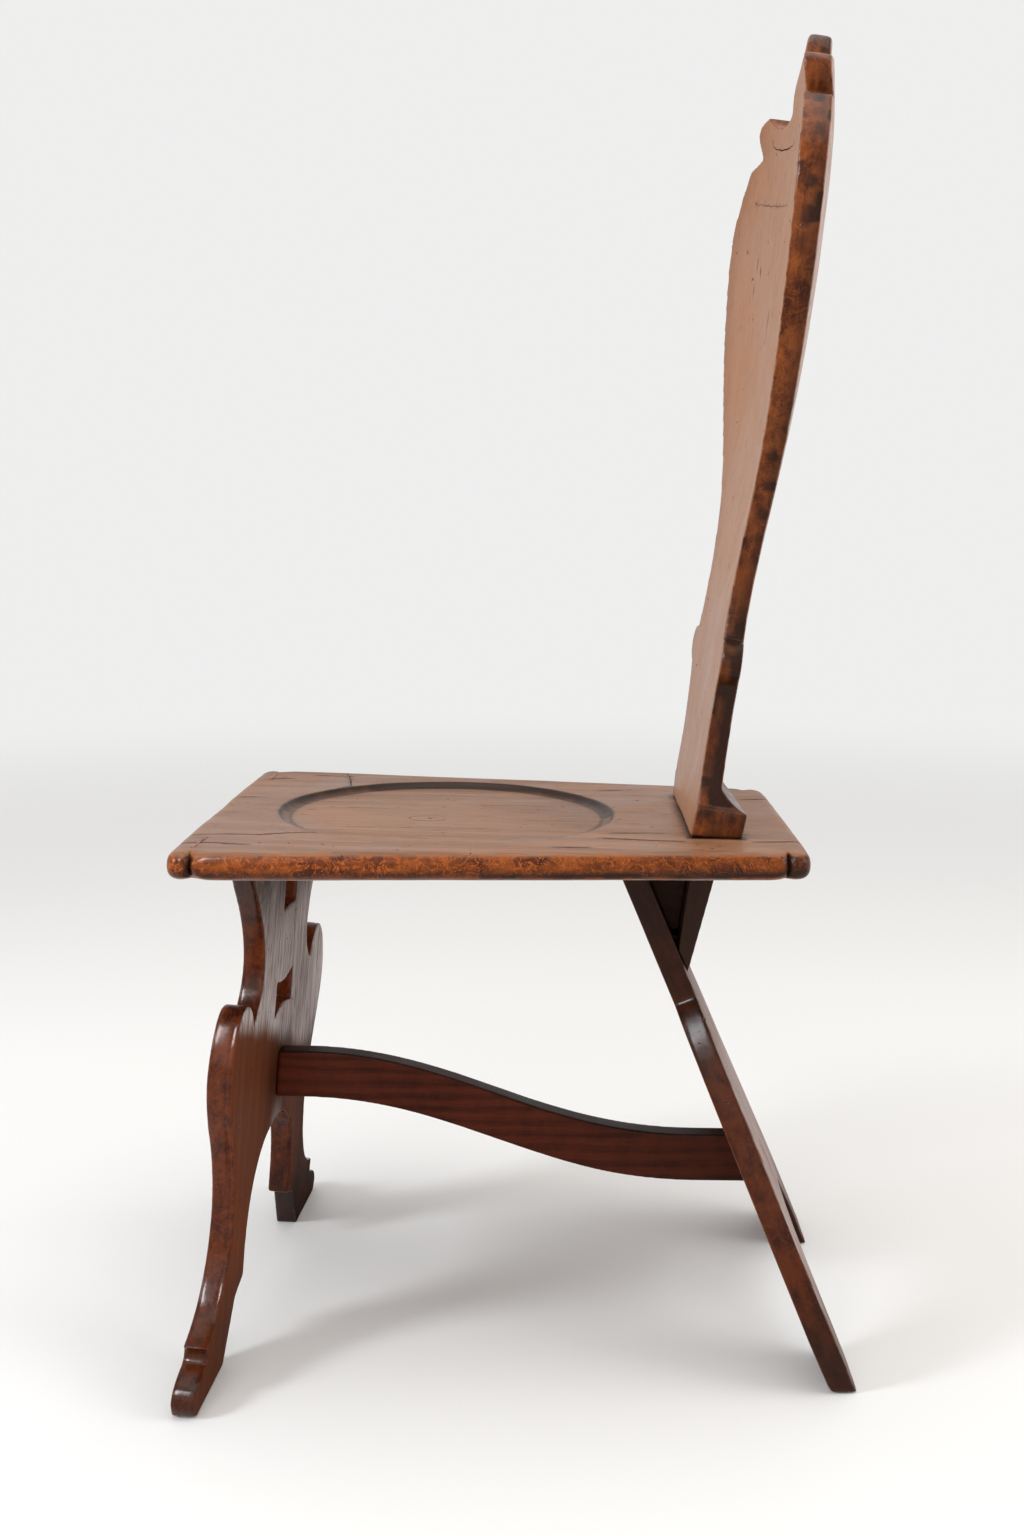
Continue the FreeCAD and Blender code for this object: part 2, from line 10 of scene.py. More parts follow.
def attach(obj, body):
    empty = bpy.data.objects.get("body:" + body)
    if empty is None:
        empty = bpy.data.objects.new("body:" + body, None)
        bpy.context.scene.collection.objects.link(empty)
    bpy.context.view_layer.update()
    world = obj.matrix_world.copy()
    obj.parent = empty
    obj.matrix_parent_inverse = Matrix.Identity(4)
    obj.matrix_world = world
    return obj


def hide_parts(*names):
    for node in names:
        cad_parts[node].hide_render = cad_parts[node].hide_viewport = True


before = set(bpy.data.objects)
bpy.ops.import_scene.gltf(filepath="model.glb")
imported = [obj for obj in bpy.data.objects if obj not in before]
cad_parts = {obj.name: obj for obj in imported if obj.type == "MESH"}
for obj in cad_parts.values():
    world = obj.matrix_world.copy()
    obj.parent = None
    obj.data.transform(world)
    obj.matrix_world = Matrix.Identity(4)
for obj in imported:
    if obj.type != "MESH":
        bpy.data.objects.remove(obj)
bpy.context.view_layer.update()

bl_info = {
    "name": "Hall chair",
    "version": (1, 0, 0),
    "blender": (4, 5, 0),
    "location": "3D View > Sidebar > Hall chair",
    "description": "Dresses the packed hall chair with worked boards, old wood finishes and a plain stage",
    "category": "Object",
}

# Turns of the boards about X, as the CAD source sets them
SEAT_TURN = math.radians(-0.95)
BACK_TURN = math.radians(-8.1)
FRONT_LEG_TURN = math.radians(-4.94)
REAR_LEG_TURN = math.radians(22.75)

# Frames of the boards; a board's own sizes below are metres in its frame
SEAT = Matrix.Translation((0, -0.276, 0.456)) @ Matrix.Rotation(SEAT_TURN, 4, "X")
BACK = Matrix.Translation((0, 0.142, 0.44907)) @ Matrix.Rotation(BACK_TURN, 4, "X")
FRONT_LEG = Matrix.Translation((0, -0.2445, 0)) @ Matrix.Rotation(FRONT_LEG_TURN, 4, "X")
REAR_LEG = Matrix.Translation((0, 0.276, 0)) @ Matrix.Rotation(REAR_LEG_TURN, 4, "X")
LEVEL = Matrix.Identity(4)

# Seat board: thickness, half width at the front, taper along it, and its round dish
SEAT_THICKNESS = 0.023
SEAT_HALF = 0.2162
SEAT_TAPER = 0.1004
DISH_Y = 0.205
DISH_RADIUS = 0.1485

# Where the back's foot stands on the seat
FOOT_Y = 0.4358
FOOT_HALF = 0.101
FOOT_DEPTH = 0.0435

# Corner lobes of the seat: their middles across and along the board
SEAT_LOBES = [(0.199, 0.010), (-0.199, 0.010), (0.148, 0.498), (-0.148, 0.498)]

# Notches beside the lobes: places along the board, and the way from each to the long edge
SEAT_NOTCHES = [(0.0215, 1), (0.4865, -1)]

# Balls worn beside a notch, at the lobe and at the edge's end: way from notch to middle, and radii
LOBE_BALL = (-0.0105, (0.020, 0.0105, 0.0115))
EDGE_BALL = (0.0155, (0.020, 0.018, 0.0115))

# Front face of the back board: height along it, set-back of its middle and radius across
BACK_LEVELS = [(-0.025, -0.004, 9.0), (0.149, 0.0, 1.25), (0.290, 0.008, 0.69), (0.380, 0.0113, 0.66),
               (0.500, 0.0079, 0.68), (0.555, 0.0065, 0.6), (0.620, 0.0028, 0.4), (0.702, 0.0035, 0.4)]

# Back board, up it: creases of its mouldings with the widths of their painted shade, middle of its ears,
# rise of its finial
BACK_CREASES = [(0.166, 0.004), (0.125, 0.006), (0.0, 0.003)]
EAR_HEIGHT = 0.617
FINIAL_RISE = (0.648, 0.668)

# Front leg board, up it: crown of its arch, the stretcher's mortise, lower end of the bare wood
ARCH_CROWN = 0.163
MORTISE_HEIGHT = 0.209
BARE_FROM = 0.243

# Bead line along the front leg's scrolls: its place from the rear face, and its width
BEAD_Y = -0.0048
BEAD_WIDTH = 0.0009

# Scratches on the back's front face: points across and up the board, width and depth in millimetres
BACK_MARKS = [
    ([(-85, 610), (-81, 603), (-71, 599), (-56, 595), (-40, 592), (-20, 590), (-2, 590)], 1.9, 1.5),
    ([(-122, 560), (-70, 549), (-4, 537)], 0.5, 0.7),
    ([(-96, 508), (-97, 497)], 1.3, 2),
    ([(-84, 497), (-83, 489)], 1.2, 2),
    ([(-100, 486), (-101, 470)], 1.0, 2),
    ([(-30, 452), (-33, 428)], 0.9, 2),
    ([(40, 410), (38, 392)], 0.9, 2),
]

# Splits of the front leg's rear face: points across and up the board, width and depth in millimetres
LEG_CRACKS = [
    ([(2, 274), (3, 256), (1, 242), (2, 226)], 1.5, 5),
    ([(-22, 330), (-20, 352), (-23, 372)], 1.0, 3),
    ([(34, 318), (37, 338), (35, 352)], 0.9, 3),
    ([(-48, 250), (-46, 262), (-47, 281)], 0.8, 3),
]

# Cracks of the seat's top and dish: points across and along the board, width and depth in millimetres
SEAT_CRACKS = [
    ([(133, 4), (126, 32), (126, 61), (116, 84), (109, 116)], 1.3, 5),
    ([(163, 3), (160, 29), (164, 59)], 1.5, 5),
    ([(109, 340), (113, 370), (116, 408)], 1.6, 6),
    ([(112, 466), (105, 507)], 1.5, 6),
    ([(-114, 343), (-121, 366)], 1.2, 4),
    ([(-84, 480), (-91, 507)], 1.4, 5),
    ([(-145, 17), (-150, 39)], 2.0, 5),
    ([(-189, 88), (-150, 98), (-113, 103), (-99, 94)], 1.0, 3),
    ([(-40, 8), (-42, 27)], 1.4, 4),
    ([(88, 352), (84, 392)], 0.8, 2.5),
    ([(-172, 60), (-168, 100)], 0.9, 3),
    ([(150, 300), (147, 330)], 0.9, 3),
]
DISH_CRACKS = [
    ([(62, 120), (58, 158), (61, 190)], 0.7, 2),
    ([(-52, 228), (-56, 272), (-50, 300)], 0.7, 2),
    ([(100, 176), (103, 205)], 0.8, 2),
    ([(-30, 110), (-27, 150)], 0.6, 2),
]

# How far the dish lies below the top, in millimetres
DISH_DROP = 5

# Knot in the dish: its middle, and its ring's radii across and along the board, in millimetres
KNOT = (14.5, 190.0)
KNOT_RADII = (13.5, 17.0)

# Lamps: name, place, target, size, watts, colour, and whether it lights matt surfaces too
LAMPS = [
    ("window", (1.1, -2.3, 1.5), (0, 0, 0.45), (0.5, 0.9), 40, (0.90, 0.96, 1.0), True),
    ("skylight", (1.9, -0.9, 2.3), (0, -0.1, 0.4), (0.5, 1.1), 110, (0.90, 0.95, 1.0), False),
    ("ceiling", (0.2, 0.2, 3.2), (0, 0, 0.4), (2.4, 2.4), 36, (1.0, 0.99, 0.97), True),
    ("garden", (0.5, 2.7, 1.5), (0, 0, 0.45), (1.6, 1.6), 34, (1.0, 0.99, 0.97), True),
    ("fill", (2.9, -0.4, 1.6), (0, 0, 0.5), (2.0, 2.0), 16, (1.0, 0.98, 0.95), True),
]
SKY_COLOUR = (1.0, 0.99, 0.975)
SKY_STRENGTH = 0.62

# Faces whose edge paint is above this get the polished finish
POLISH_FROM = 0.4


class HallChairSizes(bpy.types.PropertyGroup):
    """Sizes of the wear and of the fine shapes that the boards get in Blender."""

    voxel: bpy.props.FloatProperty(
        name="Fineness", description="Spacing of the points on a worked board",
        default=0.0013, unit="LENGTH")
    seat_soft: bpy.props.IntProperty(
        name="Seat softness", description="Rounds of smoothing on the seat's arrises", default=16)
    lobe_soft: bpy.props.IntProperty(
        name="Lobe softness", description="Further rounds of smoothing on the seat's corner lobes",
        default=30)
    notch_close: bpy.props.FloatProperty(
        name="Notch closing", description="How far wear has rolled the seat's edge into the corner notches",
        default=0.007, unit="LENGTH")
    ball_ends: bpy.props.FloatProperty(
        name="Ball ends", description="How far the lobes and the long edges' ends are worn into balls",
        default=1.0)
    back_soft: bpy.props.IntProperty(
        name="Back softness", description="Rounds of smoothing on the back's arrises", default=7)
    finial_soft: bpy.props.IntProperty(
        name="Finial softness", description="Further rounds of smoothing on the finial's dome",
        default=24)
    leg_soft: bpy.props.IntProperty(
        name="Leg softness", description="Rounds of smoothing on the legs' arrises", default=14)
    foot_soft: bpy.props.IntProperty(
        name="Foot softness", description="Further rounds of smoothing on the worn rear feet",
        default=24)
    stretcher_soft: bpy.props.IntProperty(
        name="Stretcher softness", description="Rounds of smoothing on the stretcher's arrises", default=10)
    tool_marks: bpy.props.FloatProperty(
        name="Tool marks", description="Height of the waves that hand tools and wear left",
        default=0.0005, unit="LENGTH")
    worm_radius: bpy.props.FloatProperty(
        name="Worm hole radius", description="Radius of a middling worm hole",
        default=0.0008, unit="LENGTH")
    worm_depth: bpy.props.FloatProperty(
        name="Worm hole depth", description="Depth of a worm hole", default=0.003, unit="LENGTH")
    bead_depth: bpy.props.FloatProperty(
        name="Bead depth", description="Depth of the line along the front leg's scrolls",
        default=0.0006, unit="LENGTH")
    leg_twist: bpy.props.FloatProperty(
        name="Leg twist", description="How far the front leg board is out of square, as a slope",
        default=0.06)
    back_twist: bpy.props.FloatProperty(
        name="Back twist", description="How far the back's top is out of square, as a slope",
        default=0.026)
    triangles: bpy.props.IntProperty(
        name="Triangles", description="Most triangles on one board", default=170000)


def tone(label, value):
    return bpy.props.FloatVectorProperty(
        name=label, description=f"{label} of the old wood or iron", subtype="COLOR",
        size=3, min=0, max=1, default=value)


class HallChairTones(bpy.types.PropertyGroup):
    """Colours of the finishes, as linear values."""

    seat_light: tone("Seat light", (0.324, 0.168, 0.091))
    seat_dark: tone("Seat dark", (0.165, 0.072, 0.036))
    seat_edge_light: tone("Seat edge light", (0.29, 0.070, 0.012))
    seat_edge_dark: tone("Seat edge dark", (0.055, 0.011, 0.004))
    back_light: tone("Back light", (0.385, 0.183, 0.092))
    back_dark: tone("Back dark", (0.29, 0.130, 0.063))
    back_edge_light: tone("Back edge light", (0.23, 0.060, 0.014))
    back_edge_dark: tone("Back edge dark", (0.045, 0.010, 0.004))
    leg_light: tone("Leg light", (0.165, 0.048, 0.018))
    leg_dark: tone("Leg dark", (0.095, 0.026, 0.010))
    leg_edge_light: tone("Leg edge light", (0.125, 0.027, 0.007))
    leg_edge_dark: tone("Leg edge dark", (0.028, 0.006, 0.003))
    stretcher_light: tone("Stretcher light", (0.095, 0.018, 0.007))
    stretcher_dark: tone("Stretcher dark", (0.026, 0.006, 0.003))
    weathered_light: tone("Weathered light", (0.66, 0.59, 0.575))
    weathered_dark: tone("Weathered dark", (0.26, 0.215, 0.20))
    block_light: tone("Block light", (0.22, 0.130, 0.075))
    block_dark: tone("Block dark", (0.10, 0.052, 0.028))
    # Dark tone for dirt and for painted shade
    grime_and_shade: tone("Grime and painted shade", (0.018, 0.007, 0.004))
    iron: tone("Iron", (0.045, 0.040, 0.037))
    floor: tone("Floor", (0.80, 0.79, 0.78))
    backdrop: tone("Backdrop", (0.86, 0.86, 0.855))


# Small helpers for points and meshes


def smoothstep(low, high, value):
    t = np.clip((value - low) / (high - low), 0, 1)
    return t * t * (3 - 2 * t)


def hump(value, centre, width):
    return np.exp(-(((value - centre) / width) ** 2))


def drift(points, scale, seed):
    """Smooth noise from -1 to 1 at each point, the same on every run."""
    place = points * scale + 100.0
    cell = np.floor(place).astype(np.int64)
    part = place - cell
    part = part * part * (3 - 2 * part)
    total = np.zeros(len(points))
    # Large primes and shifts mix each corner's cell into one even value
    for corner in itertools.product((0, 1), repeat=3):
        key = (cell + corner) * (73856093, 19349663, 83492791)
        mixed = (key[:, 0] ^ key[:, 1] ^ key[:, 2] ^ (seed * 2971215073)) & 0xFFFFFFFF
        mixed = ((mixed ^ (mixed >> 15)) * 2246822519) & 0xFFFFFFFF
        mixed = ((mixed ^ (mixed >> 13)) * 3266489917) & 0xFFFFFFFF
        value = (mixed >> 16) / 32767.5 - 1
        share = np.prod(np.where(corner, part, 1 - part), axis=1)
        total += value * share
    return total


def read(items, name, kind=np.int32, width=1):
    """One value of each item, or a row of them, as an array."""
    flat = np.empty(len(items) * width, kind)
    items.foreach_get(name, flat)
    return flat.reshape(-1, width) if width > 1 else flat


def positions(piece):
    return read(piece.data.vertices, "co", np.float32, 3).astype(float)


def directions(piece):
    return read(piece.data.vertex_normals, "vector", np.float32, 3).astype(float)


def surface(piece):
    """The piece's points and the way that each one faces."""
    return positions(piece), directions(piece)


def move(piece, points):
    piece.data.vertices.foreach_set("co", points.astype(np.float32).ravel())
    piece.data.update()


def settle(piece):
    """Turns the piece's modifiers into plain mesh."""
    bpy.context.view_layer.update()
    graph = bpy.context.evaluated_depsgraph_get()
    made = bpy.data.meshes.new_from_object(piece.evaluated_get(graph))
    piece.modifiers.clear()
    old = piece.data
    piece.data = made
    bpy.data.meshes.remove(old)


def new_piece(name, mesh):
    piece = bpy.data.objects.new(name, mesh)
    bpy.context.scene.collection.objects.link(piece)
    return piece


def soften(piece, rounds, freedom=1.0):
    """Rounds off the piece; freedom is 1 where a point may move and 0 where it stays."""
    a, b = read(piece.data.edges, "vertices", width=2).T
    ends = np.concatenate((a, b))
    others = np.concatenate((b, a))
    points = positions(piece)
    count = np.bincount(ends, minlength=len(points))[:, None]
    share = 0.5 * np.broadcast_to(freedom, len(points))[:, None]
    for _ in range(rounds):
        sums = [np.bincount(ends, points[others, k], len(points)) for k in range(3)]
        points += share * (np.stack(sums, 1) / count - points)
    move(piece, points)


def rough_out(node, name, board, sizes, fineness=1.0):
    """A fine, even copy of a CAD node in the board's own frame."""
    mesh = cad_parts[node].data.copy()
    shape = bmesh.new()
    shape.from_mesh(mesh)
    bmesh.ops.remove_doubles(shape, verts=shape.verts, dist=1e-6)
    shape.to_mesh(mesh)
    shape.free()
    mesh.materials.clear()
    mesh.transform(board.inverted())
    piece = new_piece(name, mesh)
    remesh = piece.modifiers.new("even", "REMESH")
    remesh.mode = "VOXEL"
    remesh.voxel_size = sizes.voxel * fineness * 1
    settle(piece)
    return piece


def hand_work(piece, height, seed, stretch=(1, 1, 1)):
    """Low waves over the whole surface, as planes, rasps and long use leave them."""
    points = positions(piece)
    spread = points * stretch
    waves = 0.7 * drift(spread, 22, seed) + 0.3 * drift(spread, 75, seed + 1)
    move(piece, points + directions(piece) * (height * waves)[:, None])


def twist(piece, slope):
    """The board is a little out of square with the seat."""
    points = positions(piece)
    points[:, 1] -= slope * points[:, 0]
    move(piece, points)


def thin_out(piece, most):
    piece.data.calc_loop_triangles()
    count = len(piece.data.loop_triangles)
    if count > most:
        fewer = piece.modifiers.new("fewer", "DECIMATE")
        fewer.ratio = most / count
        settle(piece)


def cut(piece, cutter):
    """Cuts the cutter's shape out of the piece; the new walls keep the cutter's material."""
    carve = piece.modifiers.new("carve", "BOOLEAN")
    carve.operation = "DIFFERENCE"
    carve.solver = "MANIFOLD"
    carve.material_mode = "TRANSFER"
    carve.object = cutter
    settle(piece)
    mesh = cutter.data
    bpy.data.objects.remove(cutter)
    bpy.data.meshes.remove(mesh)


def sliver(shape, path, width, depth, place, seed):
    """Adds a closed sliver along the path that cuts a crack, widest in its middle."""
    random = np.random.default_rng(seed)
    path = np.array(path, float)
    runs = np.linalg.norm(np.diff(path, axis=0), axis=1)
    along = np.concatenate(([0], np.cumsum(runs)))
    steps = max(4, int(along[-1] / 4))
    stops = np.linspace(0, along[-1], steps + 1)
    line = np.stack([np.interp(stops, along, path[:, k]) for k in range(2)], 1)
    line[1:-1] += random.normal(0, 0.35, (steps - 1, 2))
    rows = []
    for index, spot in enumerate(line):
        share = index / steps
        before = line[max(index - 1, 0)]
        after = line[min(index + 1, steps)]
        way = (after - before) / np.linalg.norm(after - before)
        side = np.array((-way[1], way[0]))
        half = max(0.06, width / 2 * math.sqrt(4 * share * (1 - share)) * random.uniform(0.7, 1.15))
        deep = max(0.3, depth * (4 * share * (1 - share)) ** 0.6)
        rows.append([
            shape.verts.new(place(*(spot + side * half * 1.6), 1.0)),
            shape.verts.new(place(*(spot - side * half * 1.6), 1.0)),
            shape.verts.new(place(*spot, -deep)),
        ])
    for first, second in zip(rows, rows[1:]):
        for k in range(3):
            n = (k + 1) % 3
            shape.faces.new((first[k], first[n], second[n], second[k]))
    shape.faces.new(rows[0][::-1])
    shape.faces.new(rows[-1])


def crack_cutter(name, groups, material):
    """One mesh of slivers: each group is a list of cracks, a place function and a seed."""
    shape = bmesh.new()
    for cracks, place, seed in groups:
        for index, (path, width, depth) in enumerate(cracks):
            sliver(shape, path, width, depth, place, seed + index)
    bmesh.ops.recalc_face_normals(shape, faces=shape.faces)
    mesh = bpy.data.meshes.new(name)
    shape.to_mesh(mesh)
    shape.free()
    mesh.materials.append(material)
    return new_piece(name, mesh)


def paint(piece, **marks):
    """Stores where the finish changes, as one value for each point."""
    count = len(piece.data.vertices)
    for name, value in marks.items():
        layer = piece.data.attributes.new(name, "FLOAT", "POINT")
        layer.data.foreach_set("value", np.clip(np.broadcast_to(value, count), 0, 1).astype(np.float32))


def shade(piece, carved):
    """Smooth shading on the worked faces and flat shading inside cuts."""
    mesh = piece.data
    if mesh.attributes.get("sharp_face"):
        mesh.attributes.remove(mesh.attributes["sharp_face"])
    mesh.shade_smooth()
    names = [m.name if m else "" for m in mesh.materials]
    if carved in names:
        inside = names.index(carved)
        mesh.polygons.foreach_set("use_smooth", read(mesh.polygons, "material_index") != inside)


def set_finish(piece, finish, polish=None):
    """The finish in the first slot and the edges' polish in the last; the walls of cuts keep theirs."""
    mesh = piece.data
    slots = mesh.materials
    if len(slots) == 0:
        slots.append(finish)
    elif slots[0] is None:
        slots[0] = finish
    else:
        raise RuntimeError(f"{piece.name}: the first slot is taken by {slots[0].name}")
    if polish:
        slots.append(polish)
        edge = read(mesh.attributes["edge"].data, "value", np.float32)
        corner = read(mesh.loops, "vertex_index")[read(mesh.polygons, "loop_start")]
        index = read(mesh.polygons, "material_index")
        index[(index == 0) & (edge[corner] > POLISH_FROM)] = len(slots) - 1
        mesh.polygons.foreach_set("material_index", index)


def deliver(piece, board, nodes):
    """Puts the finished piece into the chair's frame in place of its CAD nodes."""
    piece.data.transform(board)
    shade(piece, "old_dirt")
    piece.data.update()
    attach(piece, "root")
    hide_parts(*nodes)


# Node trees


class Nodes:
    """A node tree, with short calls that add a node and set or link its inputs."""

    def __init__(self, tree):
        self.tree = tree
        self.nodes = tree.nodes

    def put(self, kind, values=None, **settings):
        node = self.nodes.new(kind)
        for key, value in settings.items():
            setattr(node, key, value)
        self.fill(node, values or {})
        return node

    def fill(self, node, values):
        for key, value in values.items():
            self.give(node.inputs[key], value)

    def give(self, socket, value):
        if isinstance(value, bpy.types.NodeSocket):
            self.tree.links.new(value, socket)
        elif socket.type == "RGBA":
            socket.default_value = (*value, 1)
        else:
            socket.default_value = value

    def math(self, operation, a, b=0.0):
        return self.put("ShaderNodeMath", {0: a, 1: b}, operation=operation).outputs[0]

    def times(self, value, share):
        return self.math("MULTIPLY", value, share)


def worm_tree():
    """Small tapered plugs on random points of a surface, densest where the worm attribute is high."""
    tree = bpy.data.node_groups.get("worm_holes")
    if tree:
        return tree
    tree = bpy.data.node_groups.new("worm_holes", "GeometryNodeTree")
    for label, kind in (("Board", "Geometry"), ("Density", "Float"), ("Seed", "Int"), ("Radius", "Float"),
                        ("Depth", "Float"), ("Material", "Material")):
        tree.interface.new_socket(label, in_out="INPUT", socket_type=f"NodeSocket{kind}")
    tree.interface.new_socket("Plugs", in_out="OUTPUT", socket_type="NodeSocketGeometry")
    n = Nodes(tree)
    given = n.put("NodeGroupInput").outputs
    where = n.put("GeometryNodeInputNamedAttribute", {"Name": "worm"}, data_type="FLOAT")
    dense = n.times(given["Density"], where.outputs["Attribute"])
    spots = n.put("GeometryNodeDistributePointsOnFaces", {
        "Mesh": given["Board"], "Density": dense, "Seed": given["Seed"]}).outputs
    plug = n.put("GeometryNodeMeshCone", {
        "Vertices": 9, "Depth": given["Depth"], "Radius Top": given["Radius"],
        "Radius Bottom": n.times(given["Radius"], 0.55)}).outputs["Mesh"]
    down = n.put("ShaderNodeCombineXYZ", {"Z": n.times(given["Depth"], -0.72)}).outputs[0]
    sunk = n.put("GeometryNodeTransform", {"Geometry": plug, "Translation": down}).outputs["Geometry"]
    size = n.put("FunctionNodeRandomValue", {2: 0.6, 3: 1.35, "Seed": given["Seed"]},
                 data_type="FLOAT").outputs[1]
    plugs = n.put("GeometryNodeInstanceOnPoints", {
        "Points": spots["Points"], "Instance": sunk, "Rotation": spots["Rotation"],
        "Scale": size}).outputs["Instances"]
    real = n.put("GeometryNodeRealizeInstances", {"Geometry": plugs}).outputs["Geometry"]
    dark = n.put("GeometryNodeSetMaterial", {"Geometry": real, "Material": given["Material"]})
    n.put("NodeGroupOutput", {"Plugs": dark.outputs["Geometry"]})
    return tree


def worm_plugs(piece, where, sizes, material, density, seed):
    """A plain mesh of plugs over the piece, to be cut out of it."""
    paint(piece, worm=where)
    host = new_piece(piece.name + "_plugs", piece.data.copy())
    scatter = host.modifiers.new("worm holes", "NODES")
    scatter.node_group = worm_tree()
    given = {"Density": float(density), "Seed": seed, "Radius": sizes.worm_radius,
             "Depth": sizes.worm_depth, "Material": material}
    for item in scatter.node_group.interface.items_tree:
        if item.in_out == "INPUT" and item.name in given:
            scatter[item.identifier] = given[item.name]
    settle(host)
    piece.data.attributes.remove(piece.data.attributes["worm"])
    return host


# Materials


class Recipe(Nodes):
    """A material's nodes, with short calls for the ones that the woods use."""

    def __init__(self, name):
        self.material = bpy.data.materials.new(name)
        self.material.use_nodes = True
        super().__init__(self.material.node_tree)
        self.shader = self.nodes["Principled BSDF"]

    def place(self):
        return self.put("ShaderNodeTexCoord").outputs["Object"]

    def coords(self, turn):
        """Object coordinates turned into the board's own frame."""
        values = {"Vector": self.place(), "Rotation": (-turn, 0, 0)}
        return self.put("ShaderNodeMapping", values).outputs[0]

    def stretch(self, vector, scale, shift=(0, 0, 0)):
        values = {"Vector": vector, "Scale": scale, "Location": shift}
        return self.put("ShaderNodeMapping", values).outputs[0]

    def noise(self, vector, scale, detail=3.0, rough=0.55, bent=0.0):
        values = {"Vector": vector, "Scale": scale, "Detail": detail, "Roughness": rough}
        return self.put("ShaderNodeTexNoise", {**values, "Distortion": bent}).outputs[0]

    def span(self, value, low, high, to_low=0.0, to_high=1.0):
        values = {"Value": value, "From Min": low, "From Max": high, "To Min": to_low, "To Max": to_high}
        return self.put("ShaderNodeMapRange", values, interpolation_type="SMOOTHSTEP").outputs[0]

    def mix(self, share, a, b):
        return self.put("ShaderNodeMix", {0: share, 6: a, 7: b}, data_type="RGBA").outputs[2]

    def mark(self, name):
        node = self.put("ShaderNodeAttribute", attribute_name=name, attribute_type="GEOMETRY")
        return node.outputs["Fac"]

    def add(self, *shares):
        total = shares[0]
        for share in shares[1:]:
            total = self.math("ADD", total, share)
        return total

    def bump(self, height, strength):
        values = {"Strength": strength, "Distance": 0.0006, "Height": height}
        self.fill(self.shader, {"Normal": self.put("ShaderNodeBump", values).outputs[0]})


